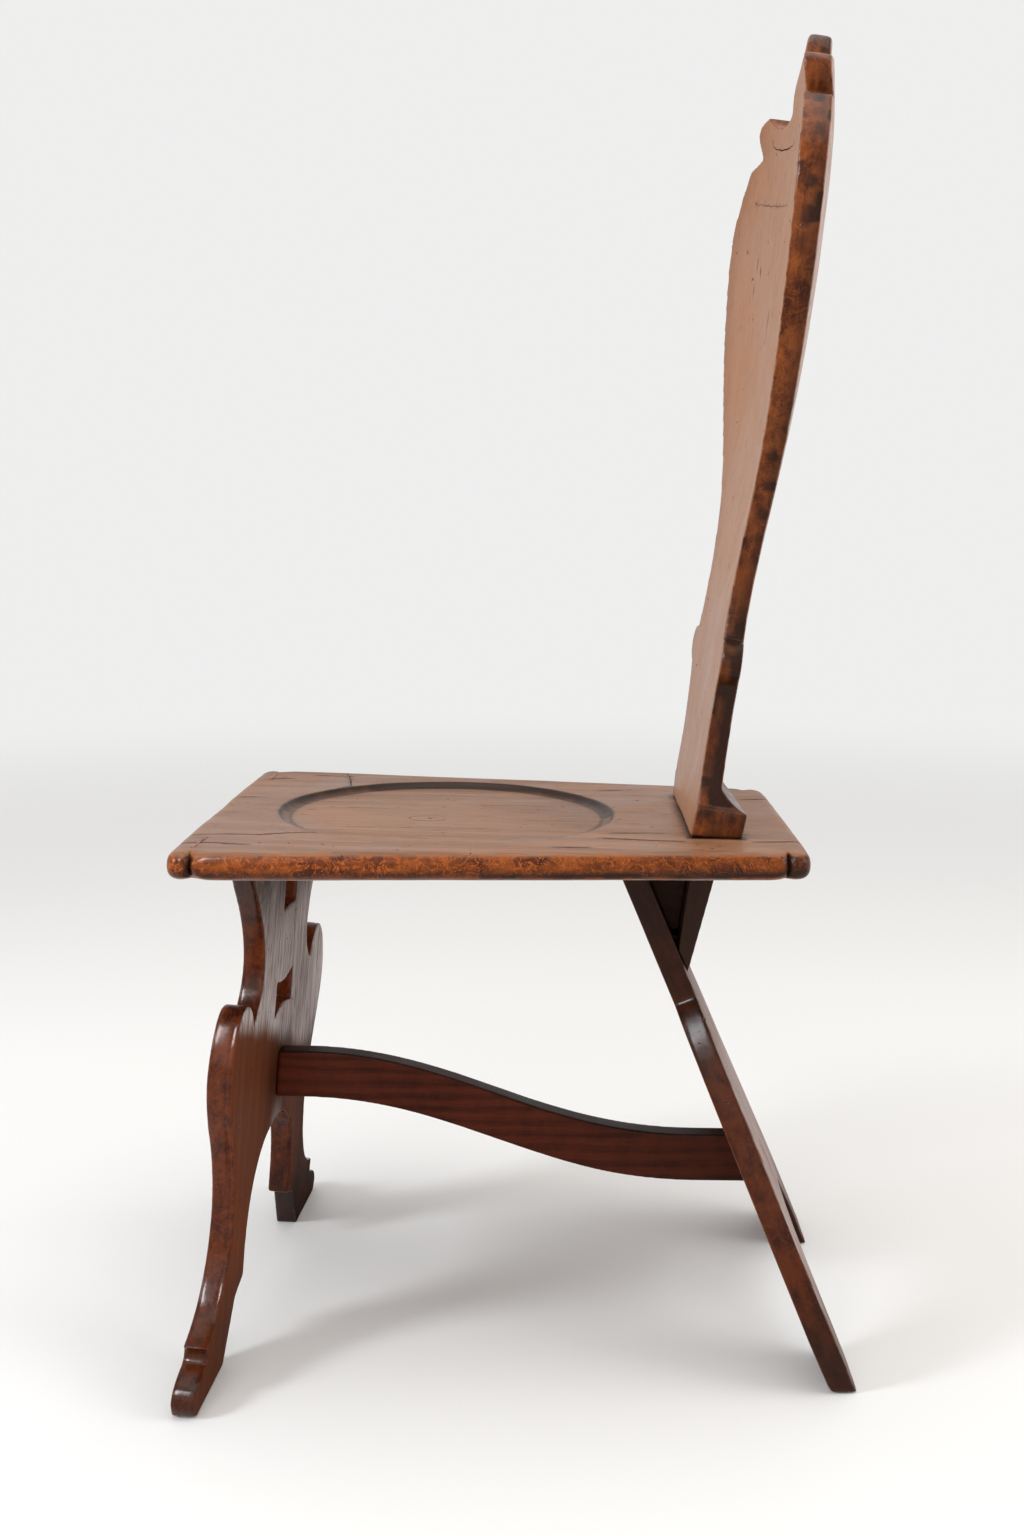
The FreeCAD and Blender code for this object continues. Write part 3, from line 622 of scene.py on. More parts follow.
def old_wood(name, tones, turn, along, face, edge, gloss, shine, mottle=40.0, rings=0.3, curl=0.25):
    """Waxed old wood: fibres, pores and rings on the faces, mottled dark polish on the edges.

    along is the axis of the grain in the board's frame; face and edge are pairs of dark and light tones.
    """
    r = Recipe(name)
    board = r.coords(turn)
    axis = "XYZ".index(along)

    def scaled(across, lengthwise):
        return tuple(lengthwise if k == axis else across for k in range(3))

    # Slow bends of the grain
    bend = r.noise(r.stretch(board, scaled(9, 3)), 1.0, 2.0)
    bent = r.put("ShaderNodeVectorMath", {0: board, 1: r.put("ShaderNodeCombineXYZ", {
        "XYZ"[(axis + 1) % 3]: r.span(bend, 0.2, 0.8, -0.006, 0.006),
        "XYZ"[(axis + 2) % 3]: r.span(bend, 0.2, 0.8, 0.004, -0.004)}).outputs[0]}).outputs[0]
    fibre = r.noise(r.stretch(bent, scaled(420, 9)), 1.0, 4.0, 0.6)
    fine = r.noise(r.stretch(bent, scaled(1500, 30)), 1.0, 2.0, 0.6)
    wave = r.put("ShaderNodeTexWave", {
        "Vector": r.stretch(bent, scaled(26, 2.2), (0.3, 0.25, 0.1)), "Scale": 1.0, "Distortion": 5.0,
        "Detail": 2.0, "Detail Scale": 0.8}, wave_type="RINGS", rings_direction=along).outputs["Fac"]
    pore = r.span(r.noise(r.stretch(bent, scaled(900, 45), (0.7, 0.2, 0.4)), 1.0, 2.0, 0.5), 0.66, 0.74)
    cloud = r.noise(board, 8.0, 4.0, 0.6, 0.6)
    blotch = r.noise(board, mottle, 5.0, 0.62, 1.1)
    smear = r.noise(board, 13.0, 3.0, 0.55, 0.8)

    # Faces
    figure = r.add(r.times(fibre, 0.75), r.times(wave, rings), r.times(cloud, 0.5))
    colour = r.mix(r.span(figure, 0.45, 1.05), face[0], face[1])
    colour = r.mix(r.times(r.span(fine, 0.55, 0.75), 0.30), colour, face[0])
    # Edges: reddish polish with dark mottles and thin pale veins
    curls = r.math("SUBTRACT", r.noise(board, mottle * 1.4, 3.0, 0.5, 2.2), 0.5)
    vein = r.span(r.math("ABSOLUTE", curls), 0.0, 0.035, 1.0, 0.0)
    streak = r.noise(r.stretch(bent, scaled(170, 16)), 1.0, 4.0, 0.6)
    tint = r.add(r.times(streak, 0.4), r.times(blotch, 0.55), r.times(smear, 0.35))
    polish = r.mix(r.span(tint, 0.48, 0.80), edge[0], edge[1])
    pale = tuple(min(1, 1.7 * value) for value in edge[1])
    polish = r.mix(r.times(vein, curl), polish, pale)
    side = r.mark("edge")
    colour = r.mix(side, colour, polish)
    # Bare weathered wood
    weather = r.span(r.add(r.times(fibre, 0.8), r.times(cloud, 0.3)), 0.35, 0.75)
    bare = r.mix(weather, *dark_and_light(tones, "weathered"))
    fleck = r.span(r.noise(r.stretch(bent, scaled(150, 20), (0.1, 0.6, 0.3)), 1.0, 3.0, 0.6), 0.52, 0.68)
    bare = r.mix(r.times(fleck, 0.45), bare, face[0])
    grey = r.mark("grey")
    colour = r.mix(grey, colour, bare)
    # Pores, dirt with painted shade, and worn arrises
    colour = r.mix(r.times(pore, 0.55), colour, tones.grime_and_shade)
    # The dark mark mixes in the dark tone: real dirt in cracks and joints, painted shade under the seat and
    # in creases, notches and gaps
    grime_and_shade = r.math("MINIMUM", r.times(r.mark("stain"), r.span(smear, 0.25, 0.6, 0.75, 1.2)), 0.96)
    colour = r.mix(grime_and_shade, colour, tones.grime_and_shade)
    worn = r.times(r.mark("wear"), r.span(blotch, 0.42, 0.62))
    colour = r.mix(r.times(worn, 0.55), colour, edge[1])

    # Gloss and relief
    dull = r.add(r.span(side, 0.0, 1.0, gloss[0], gloss[1]), r.times(grey, 0.3),
                 r.span(cloud, 0.3, 0.7, -0.06, 0.1), r.times(pore, 0.2))
    height = r.add(r.times(fibre, 0.5), r.times(fine, 0.3), r.times(pore, -0.8), r.times(blotch, 0.25),
                   r.times(r.times(fibre, grey), 1.6))
    r.bump(r.times(height, r.span(side, 0.0, 1.0, 1.0, 0.3)), 0.35)
    r.fill(r.shader, {"Base Color": colour, "Roughness": dull, "IOR": 1.5, "Specular IOR Level": shine})
    return r.material


def dark_and_light(tones, wood):
    return getattr(tones, wood + "_dark"), getattr(tones, wood + "_light")


def finishes(name, tones, wood, shine, **recipe):
    """A board's finish for its dull faces and the one for its polished edges."""
    recipe.update(face=dark_and_light(tones, wood), edge=dark_and_light(tones, wood + "_edge"))
    parts = zip(("face", "edge"), shine)
    return [old_wood(f"{name}_{part}", tones, shine=value, **recipe) for part, value in parts]


def dirt_material(tones):
    """Dust and old wax packed into cracks and worm holes."""
    found = bpy.data.materials.get("old_dirt")
    if found:
        return found
    r = Recipe("old_dirt")
    crumbs = r.noise(r.place(), 900.0, 3.0)
    colour = r.mix(r.span(crumbs, 0.3, 0.8), tones.grime_and_shade, (0.035, 0.02, 0.012))
    r.fill(r.shader, {"Base Color": colour, "Roughness": 0.95})
    return r.material


def iron_material(tones):
    """Hand-forged iron, dark with a little rust."""
    r = Recipe("forged_iron")
    place = r.place()
    rust = r.noise(place, 380.0, 4.0, 0.65)
    colour = r.mix(r.span(rust, 0.45, 0.75), tones.iron, (0.09, 0.04, 0.02))
    dull = r.span(rust, 0.3, 0.8, 0.45, 0.8)
    r.fill(r.shader, {"Base Color": colour, "Roughness": dull, "Metallic": 0.8})
    r.bump(r.noise(place, 600.0, 2.0), 0.5)
    return r.material


# Operators, one for each piece or group of like pieces


class Dressing:
    """What the operators share."""

    bl_options = {"REGISTER"}

    def settings(self, context):
        return context.scene.hall_chair_sizes, context.scene.hall_chair_tones


class HALLCHAIR_OT_seat(Dressing, bpy.types.Operator):
    """Makes the dished seat board with its worn edge, cracks and worm holes"""

    bl_idname = "hall_chair.seat"
    bl_label = "Seat board"

    def execute(self, context):
        sizes, tones = self.settings(context)
        dirt = dirt_material(tones)
        piece = rough_out("seat_board", "seat", SEAT, sizes)
        points = positions(piece)
        crisp = hump(self.from_dish(points), -0.004, 0.011) * (points[:, 2] > -0.012)
        soften(piece, sizes.seat_soft, 1 - 0.8 * crisp)
        self.close_notches(piece, sizes.notch_close)
        self.round_ends(piece, sizes.ball_ends)
        soften(piece, sizes.lobe_soft, self.near_lobes(positions(piece), 0.026))
        hand_work(piece, sizes.tool_marks, seed=3, stretch=(1, 0.5, 1))
        thin_out(piece, sizes.triangles)
        self.cracks(piece, dirt)
        cut(piece, worm_plugs(piece, 1.0, sizes, dirt, density=420, seed=5))
        self.paint_seat(piece)
        woods = finishes("seat_wood", tones, "seat", (0.17, 0.13), turn=0, along="Y", gloss=(0.38, 0.24),
                         mottle=60.0, curl=0.75, rings=0.15)
        set_finish(piece, *woods)
        deliver(piece, SEAT, ["seat_board"])
        return {"FINISHED"}

    def cracks(self, piece, dirt):
        def on_top(x, y, up):
            return (x / 1000, y / 1000, up / 1000)

        def in_dish(x, y, up):
            return (x / 1000, y / 1000, (up - DISH_DROP) / 1000)

        turns = np.linspace(0.25, 5.7, 24)
        (x, y), (across, along) = KNOT, KNOT_RADII
        ring = [(x + across * math.sin(t), y + along * math.cos(t)) for t in turns]
        heart = [(x - 3, y - 1), (x + 1, y + 3)]
        marks = DISH_CRACKS + [(ring, 0.8, 1.2), (heart, 2.4, 3)]
        cut(piece, crack_cutter("seat_cracks", [(SEAT_CRACKS, on_top, 11), (marks, in_dish, 31)], dirt))

    def close_notches(self, piece, distance):
        """The long edges have rolled towards the corner lobes."""
        points = positions(piece)
        outer = smoothstep(0.135, 0.15, np.abs(points[:, 0]))
        for notch, towards in SEAT_NOTCHES:
            away = (points[:, 1] - notch) * towards
            points[:, 1] -= towards * distance * outer * np.where(away > 0, hump(away, 0, 0.014), 0)
        move(piece, points)

    def round_ends(self, piece, share):
        """The corner lobes and the ends of the long edges are worn into balls."""
        points = positions(piece)
        mirror = np.where(points[:, :1] < 0, (-1, 1, 1), (1, 1, 1))
        points *= mirror
        for notch, towards in SEAT_NOTCHES:
            for step, radii in (LOBE_BALL, EDGE_BALL):
                along = notch + towards * step
                side = SEAT_HALF - SEAT_TAPER * along
                away = points - (side - radii[0], along, -SEAT_THICKNESS / 2)
                inward = away[:, 1] * towards
                near = smoothstep(-0.002, 0.006, away[:, 0])
                if step < 0:
                    near *= inward < 0.0105
                else:
                    near *= smoothstep(0.003, -0.009, inward) * (inward > -0.0185)
                past = np.maximum(np.linalg.norm(away / radii, axis=1), 1)
                points += away * (past ** (-share * near) - 1)[:, None]
        move(piece, points * mirror)

    def from_dish(self, points):
        """How far each point lies outside the dish's rim."""
        return np.hypot(points[:, 0], points[:, 1] - DISH_Y) - DISH_RADIUS

    def from_cracks(self, points):
        """How far each point lies from the nearest crack of the top."""
        nearest = np.ones(len(points))
        for path, _, _ in SEAT_CRACKS:
            stops = np.array(path) / 1000
            for start, end in zip(stops, stops[1:]):
                way = end - start
                share = np.clip((points[:, :2] - start) @ way / (way @ way), 0, 1)
                spot = start + share[:, None] * way
                nearest = np.minimum(nearest, np.linalg.norm(points[:, :2] - spot, axis=1))
        return nearest

    def near_lobes(self, points, reach):
        """1 at the middle of each corner lobe, falling off over the reach."""
        away = [np.hypot(points[:, 0] - x, points[:, 1] - y) for x, y in SEAT_LOBES]
        return hump(np.min(away, axis=0), 0, reach)

    def paint_seat(self, piece):
        points, way = surface(piece)
        across, along, height = points.T
        from_dish = self.from_dish(points)
        top = height > -SEAT_THICKNESS / 2
        inner = smoothstep(0.006, 0.0, from_dish)
        flat = np.abs(way[:, 2])
        edge = (1 - smoothstep(0.55, 0.93, flat)) * (1 - inner)
        # Darker lines at the dish's rim and just inside it, and darker down the dish's wall, more on the
        # far side
        rim = (hump(from_dish, 0.0, 0.0016) + 0.75 * hump(from_dish, -0.0095, 0.0016)) * top
        wall = hump(from_dish, -0.004, 0.005) * top
        below = smoothstep(-0.2, -0.8, way[:, 2])
        low = smoothstep(-0.010, -0.019, height) * edge
        far = smoothstep(-0.08, -0.19, across) * (1 - edge)
        rear = smoothstep(0.15, 0.5, along) * edge
        # Painted shade on the walls of the corner notches
        notch = self.near_lobes(points, 0.016) * smoothstep(0.35, 0.8, np.abs(way[:, 1]))
        notch *= (along > 0.009) & (along < 0.499)
        split = smoothstep(0.0035, 0.0012, self.from_cracks(points)) * top * smoothstep(0.7, 0.9, way[:, 2])
        # Dark joint line round the back's foot, partly painted contact shade
        beside = np.abs(across) - FOOT_HALF
        before = np.abs(along - FOOT_Y) - FOOT_DEPTH / 2
        seam = smoothstep(0.0045, 0.002, np.maximum(beside, before)) * top
        lobe = self.near_lobes(points, 0.012) * (along > 0.3) * edge
        damp = below * smoothstep(0, 1, drift(points, 20, 8))
        paint(piece, edge=edge, wear=hump(flat, 0.75, 0.2) * (1 - inner), grey=0.35 * below,
              stain=((0.4 + 0.45 * (across < 0)) * wall + 0.75 * rim + 0.75 * low + 0.8 * split
                     + 0.9 * seam + 0.5 * lobe + 0.3 * rear + 1.2 * notch + 0.22 * far + 0.25 * damp))


class HALLCHAIR_OT_back(Dressing, bpy.types.Operator):
    """Makes the tall shaped back board with its ears, finial and foot"""

    bl_idname = "hall_chair.back"
    bl_label = "Back board"

    def execute(self, context):
        sizes, tones = self.settings(context)
        dirt = dirt_material(tones)
        piece = rough_out("back_board", "back", BACK, sizes)
        soften(piece, sizes.back_soft)
        soften(piece, sizes.finial_soft, smoothstep(*FINIAL_RISE, positions(piece)[:, 2]))
        self.twist_top(piece, sizes.back_twist)
        hand_work(piece, sizes.tool_marks, seed=21, stretch=(1, 1, 0.4))
        thin_out(piece, sizes.triangles)
        points, way = surface(piece)
        where = (0.25 + smoothstep(0.6, 0.9, np.abs(way[:, 1]))) * (points[:, 2] > 0.03)
        cut(piece, worm_plugs(piece, where, sizes, dirt, density=360, seed=9))
        self.scratches(piece, sizes.back_twist, dirt)
        self.paint_back(piece, sizes.back_twist)
        woods = finishes("back_wood", tones, "back", (0.16, 0.11), turn=BACK_TURN, along="Z",
                         gloss=(0.36, 0.21), rings=0.0)
        set_finish(piece, *woods)
        deliver(piece, BACK, ["back_board"])
        return {"FINISHED"}

    def twist_top(self, piece, slope):
        """The board has wound with age: its far upper side has pulled forward."""
        points = positions(piece)
        points[:, 1] += slope * points[:, 0] * self.wind(points)
        move(piece, points)

    def wind(self, points):
        """How much of the twist each height has; the finial is turned the other way."""
        height = points[:, 2]
        plank = 0.7 + 0.3 * smoothstep(0.13, 0.5, height)
        ears = 0.45 * smoothstep(0.57, 0.64, height)
        finial = 3.6 * smoothstep(0.632, 0.66, height)
        return smoothstep(0.0, 0.04, height) * (plank - ears - finial)

    def depth(self, points, slope):
        """How far each point lies behind the hollow front face."""
        height, setback, radius = np.array(BACK_LEVELS).T
        across, back, up = points.T
        middle = np.interp(up, height, setback)
        bend = np.interp(up, height, 1 / radius)
        unwound = back - slope * across * self.wind(points)
        return unwound - (middle - bend * across ** 2 / 2)

    def from_outline(self, points):
        """How far each point lies inside the board's outline, level by level."""
        level = ((points[:, 2] + 0.2) / 0.004).astype(int)
        side = np.abs(points[:, 0])
        half = np.zeros(level.max() + 1)
        np.maximum.at(half, level, side)
        return half[level] - side

    def scratches(self, piece, slope, dirt):
        def on_front(x, z, up):
            spot = np.array([(x / 1000, 0, z / 1000)])
            return (x / 1000, -self.depth(spot, slope)[0] - up / 1000, z / 1000)

        cut(piece, crack_cutter("back_marks", [(BACK_MARKS, on_front, 71)], dirt))

    def paint_back(self, piece, slope):
        points, way = surface(piece)
        height = points[:, 2]
        flat = np.abs(way[:, 1])
        edge = 1 - smoothstep(0.5, 0.9, flat)
        behind = smoothstep(0.3, 0.8, way[:, 1])
        ahead = smoothstep(0.5, 0.9, -way[:, 1])
        # Below the seat; the tail's darkening is painted shade under the seat
        tail = smoothstep(0.004, -0.012, height)
        deep = smoothstep(0.005, 0.019, self.depth(points, slope))
        blots = smoothstep(0.35, 0.6, drift(points, 85, 2))
        low = smoothstep(0.40, 0.10, height) * smoothstep(0.018, 0.045, height)
        # Painted shade along the creases of the mouldings
        creases = sum(hump(height, place, width) for place, width in BACK_CREASES)
        crest = smoothstep(0.645, 0.665, height)
        border = smoothstep(0.032, 0.004, self.from_outline(points)) * ahead * (1 - tail)
        upper = smoothstep(0.45, 0.62, height) * ahead
        # The ears' edges get less darkening: painted lightening that evens their shading with the
        # shoulders'
        ear = hump(height, EAR_HEIGHT, 0.018)
        # Dark joint line where the foot meets the seat, partly painted contact shade
        seam = smoothstep(0.0034, 0.0012, height) * (1 - tail)
        polished = np.maximum.reduce((edge, tail, 0.3 * border, 0.5 * crest))
        dark = 0.5 * deep + 0.5 * blots + 0.55 * low + 0.5 * creases + 0.3 * crest
        # The light grey on the low front face is a painted sheen
        paint(piece, edge=polished * (1 - ahead * tail), wear=hump(flat, 0.72, 0.2) * (1 - tail),
              grey=(0.62 * behind + 0.16 * ahead * low) * (1 - tail),
              stain=((0.75 + 0.25 * ahead) * tail + 0.09 * upper + 0.9 * seam
                     + edge * (1 - 0.5 * ear) * dark))


class HALLCHAIR_OT_front_leg(Dressing, bpy.types.Operator):
    """Makes the pierced front leg board with its scrolls, bead and feet"""

    bl_idname = "hall_chair.front_leg"
    bl_label = "Front leg board"

    def execute(self, context):
        sizes, tones = self.settings(context)
        dirt = dirt_material(tones)
        piece = rough_out("front_leg_board", "front_leg", FRONT_LEG, sizes)
        soften(piece, sizes.leg_soft)
        self.bead(piece, sizes)
        twist(piece, sizes.leg_twist)
        hand_work(piece, sizes.tool_marks, seed=41, stretch=(1, 1, 0.4))
        thin_out(piece, sizes.triangles)
        points, way = surface(piece)
        where = 0.15 + smoothstep(0.5, 0.9, way[:, 1]) * smoothstep(0.2, 0.26, points[:, 2])
        cut(piece, worm_plugs(piece, where, sizes, dirt, density=500, seed=3))
        self.cracks(piece, sizes, dirt)
        self.paint_leg(piece)
        woods = finishes("front_leg_wood", tones, "leg", (0.03, 0.16), turn=FRONT_LEG_TURN, along="Z",
                         gloss=(0.7, 0.14), rings=0.08)
        set_finish(piece, *woods)
        deliver(piece, FRONT_LEG, ["front_leg_board"])
        return {"FINISHED"}

    def cracks(self, piece, sizes, dirt):
        def on_rear(x, z, up):
            return (x / 1000, up / 1000 - sizes.leg_twist * x / 1000, z / 1000)

        cut(piece, crack_cutter("leg_cracks", [(LEG_CRACKS, on_rear, 51)], dirt))

    def bead(self, piece, sizes):
        """An incised line along the rear arris of each scroll."""
        points, way = surface(piece)
        across, back, up = points.T
        side = 1 - smoothstep(0.35, 0.7, np.abs(way[:, 1]))
        outer = smoothstep(0.10, 0.115, np.abs(across)) * (way[:, 0] * across > 0)
        reach = smoothstep(0.05, 0.08, up) * smoothstep(0.318, 0.308, up)
        line = hump(back, BEAD_Y, BEAD_WIDTH) * side * outer * reach
        move(piece, points - way * (sizes.bead_depth * line)[:, None])

    def paint_leg(self, piece):
        points, way = surface(piece)
        flat = np.abs(way[:, 1])
        edge = 1 - smoothstep(0.5, 0.9, flat)
        behind = smoothstep(0.4, 0.85, way[:, 1])
        ahead = smoothstep(0.4, 0.85, -way[:, 1])
        across, _, height = points.T
        up = height + 0.006 * drift(points, 30, 4)
        limit = BARE_FROM + 0.4 * np.clip(across, -0.2, 0.2)
        bare = smoothstep(-0.012, 0.012, up - limit)
        crown = hump(np.hypot(across, height - ARCH_CROWN), 0.008, 0.012)
        # Painted shade where the stretcher meets the leg's rear face
        mortise = hump(np.hypot(across, height - MORTISE_HEIGHT), 0, 0.055) * behind
        # Painted shade under the seat
        shadow = smoothstep(0.33, 0.42, up)
        foot = smoothstep(0.10, 0.03, up)
        far = smoothstep(-0.06, -0.13, across) * smoothstep(0.24, 0.18, up)
        paint(piece, edge=np.maximum(edge, 0.8 * ahead), wear=hump(flat, 0.72, 0.2),
              grey=behind * np.maximum(bare, 0.5 * crown),
              stain=0.6 * mortise * (1 - bare) + 0.4 * foot + 0.75 * shadow + 0.55 * far)


class HALLCHAIR_OT_rear_leg(Dressing, bpy.types.Operator):
    """Makes the splayed rear leg board"""

    bl_idname = "hall_chair.rear_leg"
    bl_label = "Rear leg board"

    def execute(self, context):
        sizes, tones = self.settings(context)
        dirt = dirt_material(tones)
        piece = rough_out("rear_leg_board", "rear_leg", REAR_LEG, sizes)
        soften(piece, sizes.leg_soft)
        soften(piece, sizes.foot_soft, smoothstep(0.03, 0.01, positions(piece)[:, 2]))
        hand_work(piece, sizes.tool_marks, seed=61, stretch=(1, 1, 0.4))
        thin_out(piece, sizes.triangles)
        cut(piece, worm_plugs(piece, 0.6, sizes, dirt, density=300, seed=13))
        self.paint_leg(piece)
        woods = finishes("rear_leg_wood", tones, "leg", (0.04, 0.10), turn=REAR_LEG_TURN, along="Z",
                         gloss=(0.6, 0.18), rings=0.08)
        set_finish(piece, *woods)
        deliver(piece, REAR_LEG, ["rear_leg_board"])
        return {"FINISHED"}

    def paint_leg(self, piece):
        points, way = surface(piece)
        flat = np.abs(way[:, 1])
        edge = 1 - smoothstep(0.5, 0.9, flat)
        ahead = smoothstep(0.4, 0.85, -way[:, 1])
        behind = smoothstep(0.4, 0.85, way[:, 1])
        height = points[:, 2]
        foot = smoothstep(0.12, 0.03, height)
        # Painted shade under the seat, on the edges and the rear face
        shadow = smoothstep(0.22, 0.36, height)
        # Painted shade in the dark V between the leg and the tail
        gap_shade = smoothstep(0.352, 0.366, height) * behind
        paint(piece, edge=np.maximum(edge, 0.7 * ahead), wear=hump(flat, 0.72, 0.2) * (1 - shadow),
              grey=0.62 * behind * (1 - gap_shade),
              stain=edge * (0.35 + 0.45 * shadow) + 0.45 * foot + 0.3 * shadow * behind + gap_shade)


class HALLCHAIR_OT_stretcher(Dressing, bpy.types.Operator):
    """Makes the S-curved stretcher"""

    bl_idname = "hall_chair.stretcher"
    bl_label = "Stretcher"

    def execute(self, context):
        sizes, tones = self.settings(context)
        piece = rough_out("stretcher", "stretcher", LEVEL, sizes, 0.8)
        soften(piece, sizes.stretcher_soft)
        hand_work(piece, sizes.tool_marks * 0.8, seed=81, stretch=(1, 0.4, 1))
        thin_out(piece, sizes.triangles // 2)
        points, way = surface(piece)
        top = smoothstep(0.3, 0.8, way[:, 2])
        paint(piece, edge=0.35, wear=hump(np.abs(way[:, 0]), 0.7, 0.2) * 0.6, grey=0.0,
              stain=0.75 * top + 0.4 * smoothstep(-0.05, 0.2, points[:, 1]))
        pair = dark_and_light(tones, "stretcher")
        finish = old_wood("stretcher_wood", tones, 0, "Y", pair, pair, (0.34, 0.30), 0.06, mottle=30.0)
        set_finish(piece, finish)
        deliver(piece, LEVEL, ["stretcher"])
        return {"FINISHED"}


class HALLCHAIR_OT_joinery(Dressing, bpy.types.Operator):
    """Makes the wedges of the stretcher's tenons, the glue blocks under the seat and the tail's nails"""

    bl_idname = "hall_chair.joinery"
    bl_label = "Wedges, glue blocks and nails"

    def execute(self, context):
        sizes, tones = self.settings(context)
        pair = dark_and_light(tones, "block")
        pale = old_wood("block_wood", tones, 0, "X", pair, pair, (0.7, 0.7), 0.1)
        for node, name, fineness, rounds, dirt_and_shade_share in (
                ("stretcher_front_wedges", "front_wedges", 0.2, 3, 0.2),
                ("stretcher_rear_wedges", "rear_wedges", 0.2, 3, 0.2),
                ("front_glue_blocks", "front_blocks", 0.7, 8, 0.3),
                # The rear blocks' heavy darkening is painted shade in the V between the rear leg and the
                # tail
                ("rear_glue_blocks", "rear_blocks", 0.7, 8, 2.0)):
            piece = rough_out(node, name, LEVEL, sizes, fineness)
            soften(piece, rounds)
            if "front" in name:
                twist(piece, sizes.leg_twist)
            points = positions(piece)
            patches = smoothstep(-0.2, 0.8, drift(points, 60, 5))
            paint(piece, edge=0.0, wear=0.0, grey=0.3 * max(1 - dirt_and_shade_share, 0),
                  stain=dirt_and_shade_share * (0.7 + 0.3 * patches))
            set_finish(piece, pale)
            deliver(piece, LEVEL, [node])
        nails = rough_out("tail_nails", "nails", LEVEL, sizes, 0.35)
        soften(nails, 4)
        hand_work(nails, 0.0003, seed=91, stretch=(6, 6, 6))
        set_finish(nails, iron_material(tones))
        deliver(nails, LEVEL, ["tail_nails"])
        return {"FINISHED"}


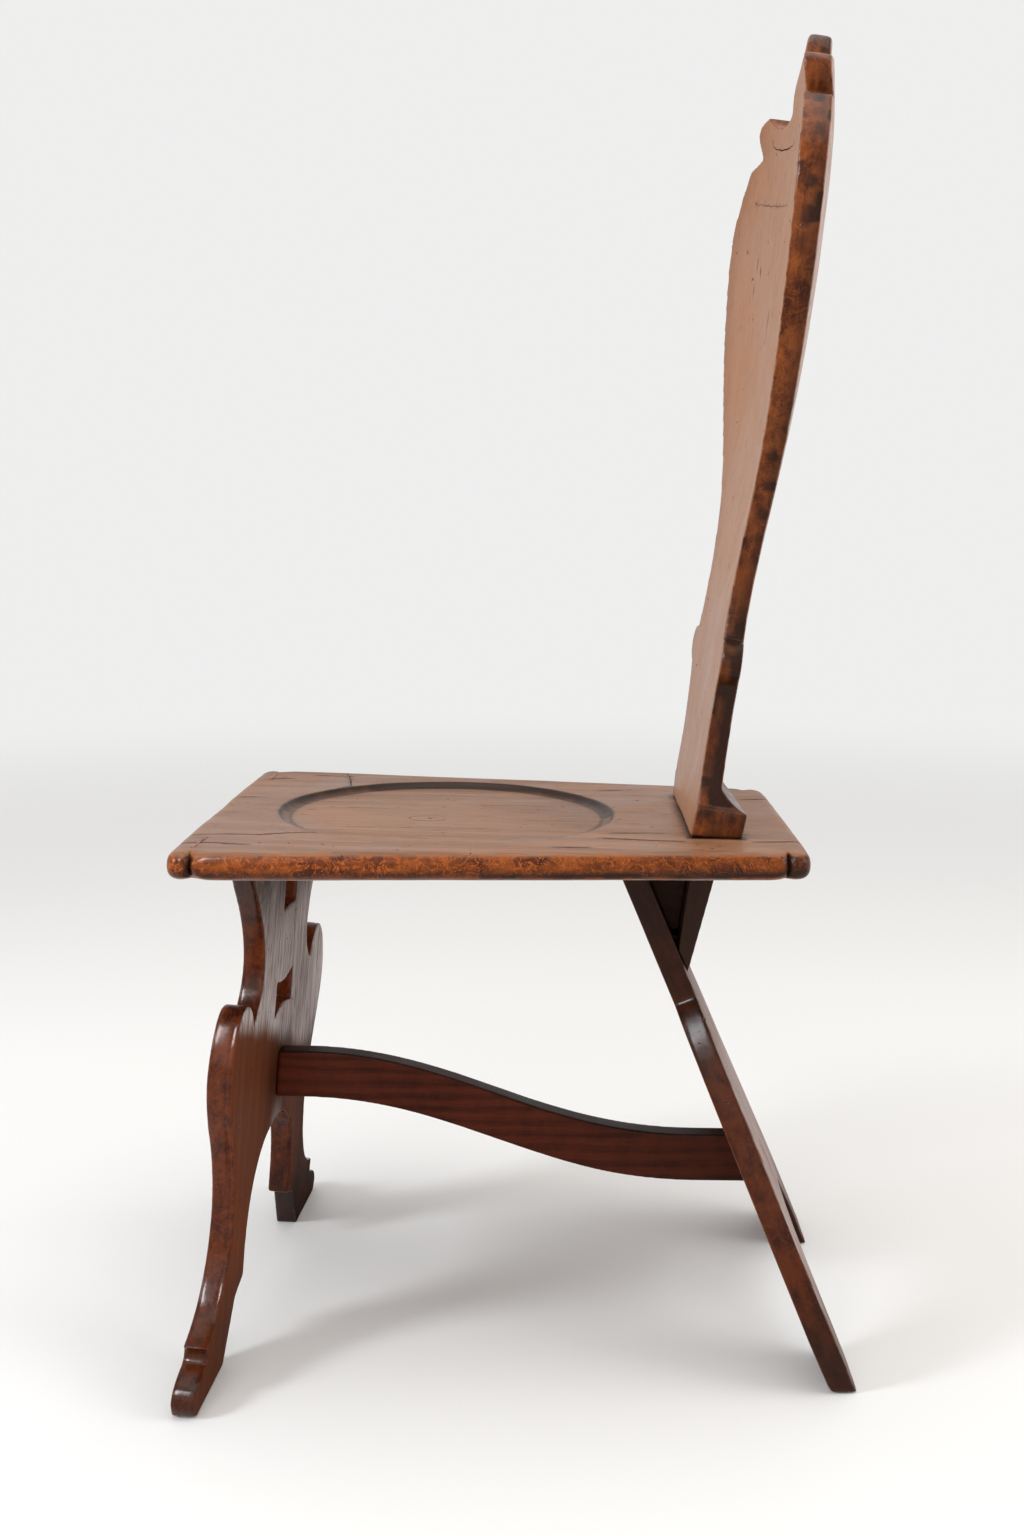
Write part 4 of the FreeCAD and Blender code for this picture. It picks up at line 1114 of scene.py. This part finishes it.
class HALLCHAIR_OT_stage(Dressing, bpy.types.Operator):
    """Sets up the plain floor, the soft light and the camera at the photograph's angle"""

    bl_idname = "hall_chair.stage"
    bl_label = "Stage"

    def execute(self, context):
        tones = context.scene.hall_chair_tones
        self.floor(tones)
        self.world(context.scene, tones)
        self.lamps()
        self.camera(context.scene)
        context.scene.view_settings.view_transform = "Standard"
        return {"FINISHED"}

    def floor(self, tones):
        shape = bmesh.new()
        bmesh.ops.create_circle(shape, cap_ends=True, segments=96, radius=30)
        mesh = bpy.data.meshes.new("floor")
        shape.to_mesh(mesh)
        shape.free()
        r = Recipe("pale_floor")
        r.fill(r.shader, {"Base Color": tones.floor, "Roughness": 0.7, "Specular IOR Level": 0.2})
        away = r.put("ShaderNodeVectorMath", {0: r.place()}, operation="LENGTH").outputs["Value"]
        far = r.put("ShaderNodeEmission", {"Color": tones.backdrop})
        fade = r.put("ShaderNodeMixShader", {
            0: r.span(away, 0.9, 4.5), 1: r.shader.outputs[0], 2: far.outputs[0]})
        r.fill(r.nodes["Material Output"], {"Surface": fade.outputs[0]})
        mesh.materials.append(r.material)
        new_piece("floor", mesh)

    def world(self, scene, tones):
        """Soft light on the object, and a pale backdrop for the eye and for reflections."""
        scene.world = bpy.data.worlds.new("studio")
        scene.world.use_nodes = True
        n = Nodes(scene.world.node_tree)
        n.nodes.clear()
        path = n.put("ShaderNodeLightPath").outputs
        seen = n.math("MAXIMUM", path["Is Camera Ray"], path["Is Glossy Ray"])
        seen = n.math("MAXIMUM", seen, path["Is Transmission Ray"])
        soft = n.put("ShaderNodeBackground", {"Color": SKY_COLOUR, "Strength": SKY_STRENGTH})
        shown = n.put("ShaderNodeBackground", {"Color": tones.backdrop})
        choose = n.put("ShaderNodeMixShader", {0: seen, 1: soft.outputs[0], 2: shown.outputs[0]})
        n.put("ShaderNodeOutputWorld", {0: choose.outputs[0]})

    def lamps(self):
        for name, place, target, size, power, colour, matt in LAMPS:
            lamp = bpy.data.lights.new(name, "AREA")
            lamp.shape = "RECTANGLE"
            lamp.size, lamp.size_y = size
            lamp.energy = power
            lamp.color = colour
            holder = new_piece(name, lamp)
            holder.location = place
            holder.rotation_euler = (Vector(place) - Vector(target)).to_track_quat("Z", "Y").to_euler()
            holder.visible_diffuse = matt

    def camera(self, scene):
        """The photograph's camera: place and axes in the chair's frame, focal length in pixels."""
        right = (-0.030297, 0.999541, 0.0)
        up = (-0.104480, -0.003167, 0.994522)
        back = (0.994065, 0.030131, 0.104528)
        place = (1.34480, 0.02824, 0.70700)
        focal, high, middle, principal = 1521.0, 1536.0, 768.0, 685.0
        lens = bpy.data.cameras.new("camera")
        lens.sensor_fit = "AUTO"
        lens.sensor_width = 36.0
        lens.lens = focal * lens.sensor_width / high
        lens.shift_y = (principal - middle) / high
        camera = new_piece("camera", lens)
        rows = [(right[k], up[k], back[k], place[k]) for k in range(3)]
        camera.matrix_world = Matrix(rows + [(0, 0, 0, 1)])
        scene.camera = camera


class HALLCHAIR_PT_panel(bpy.types.Panel):
    """Lists the operators and their settings"""

    bl_idname = "HALLCHAIR_PT_panel"
    bl_label = "Hall chair"
    bl_space_type = "VIEW_3D"
    bl_region_type = "UI"
    bl_category = "Hall chair"

    def draw(self, context):
        for step in STEPS:
            self.layout.operator(step.bl_idname)
        for group in (context.scene.hall_chair_sizes, context.scene.hall_chair_tones):
            box = self.layout.box()
            for key in group.__annotations__:
                box.prop(group, key)


STEPS = (HALLCHAIR_OT_seat, HALLCHAIR_OT_back, HALLCHAIR_OT_front_leg, HALLCHAIR_OT_rear_leg,
         HALLCHAIR_OT_stretcher, HALLCHAIR_OT_joinery, HALLCHAIR_OT_stage)
CLASSES = (HallChairSizes, HallChairTones, *STEPS, HALLCHAIR_PT_panel)


def register():
    for item in CLASSES:
        bpy.utils.register_class(item)
    bpy.types.Scene.hall_chair_sizes = bpy.props.PointerProperty(type=HallChairSizes)
    bpy.types.Scene.hall_chair_tones = bpy.props.PointerProperty(type=HallChairTones)


def unregister():
    del bpy.types.Scene.hall_chair_tones
    del bpy.types.Scene.hall_chair_sizes
    for item in reversed(CLASSES):
        bpy.utils.unregister_class(item)


def main():
    register()
    bpy.ops.hall_chair.seat()
    bpy.ops.hall_chair.back()
    bpy.ops.hall_chair.front_leg()
    bpy.ops.hall_chair.rear_leg()
    bpy.ops.hall_chair.stretcher()
    bpy.ops.hall_chair.joinery()
    bpy.ops.hall_chair.stage()


if __name__ == "__main__":
    main()
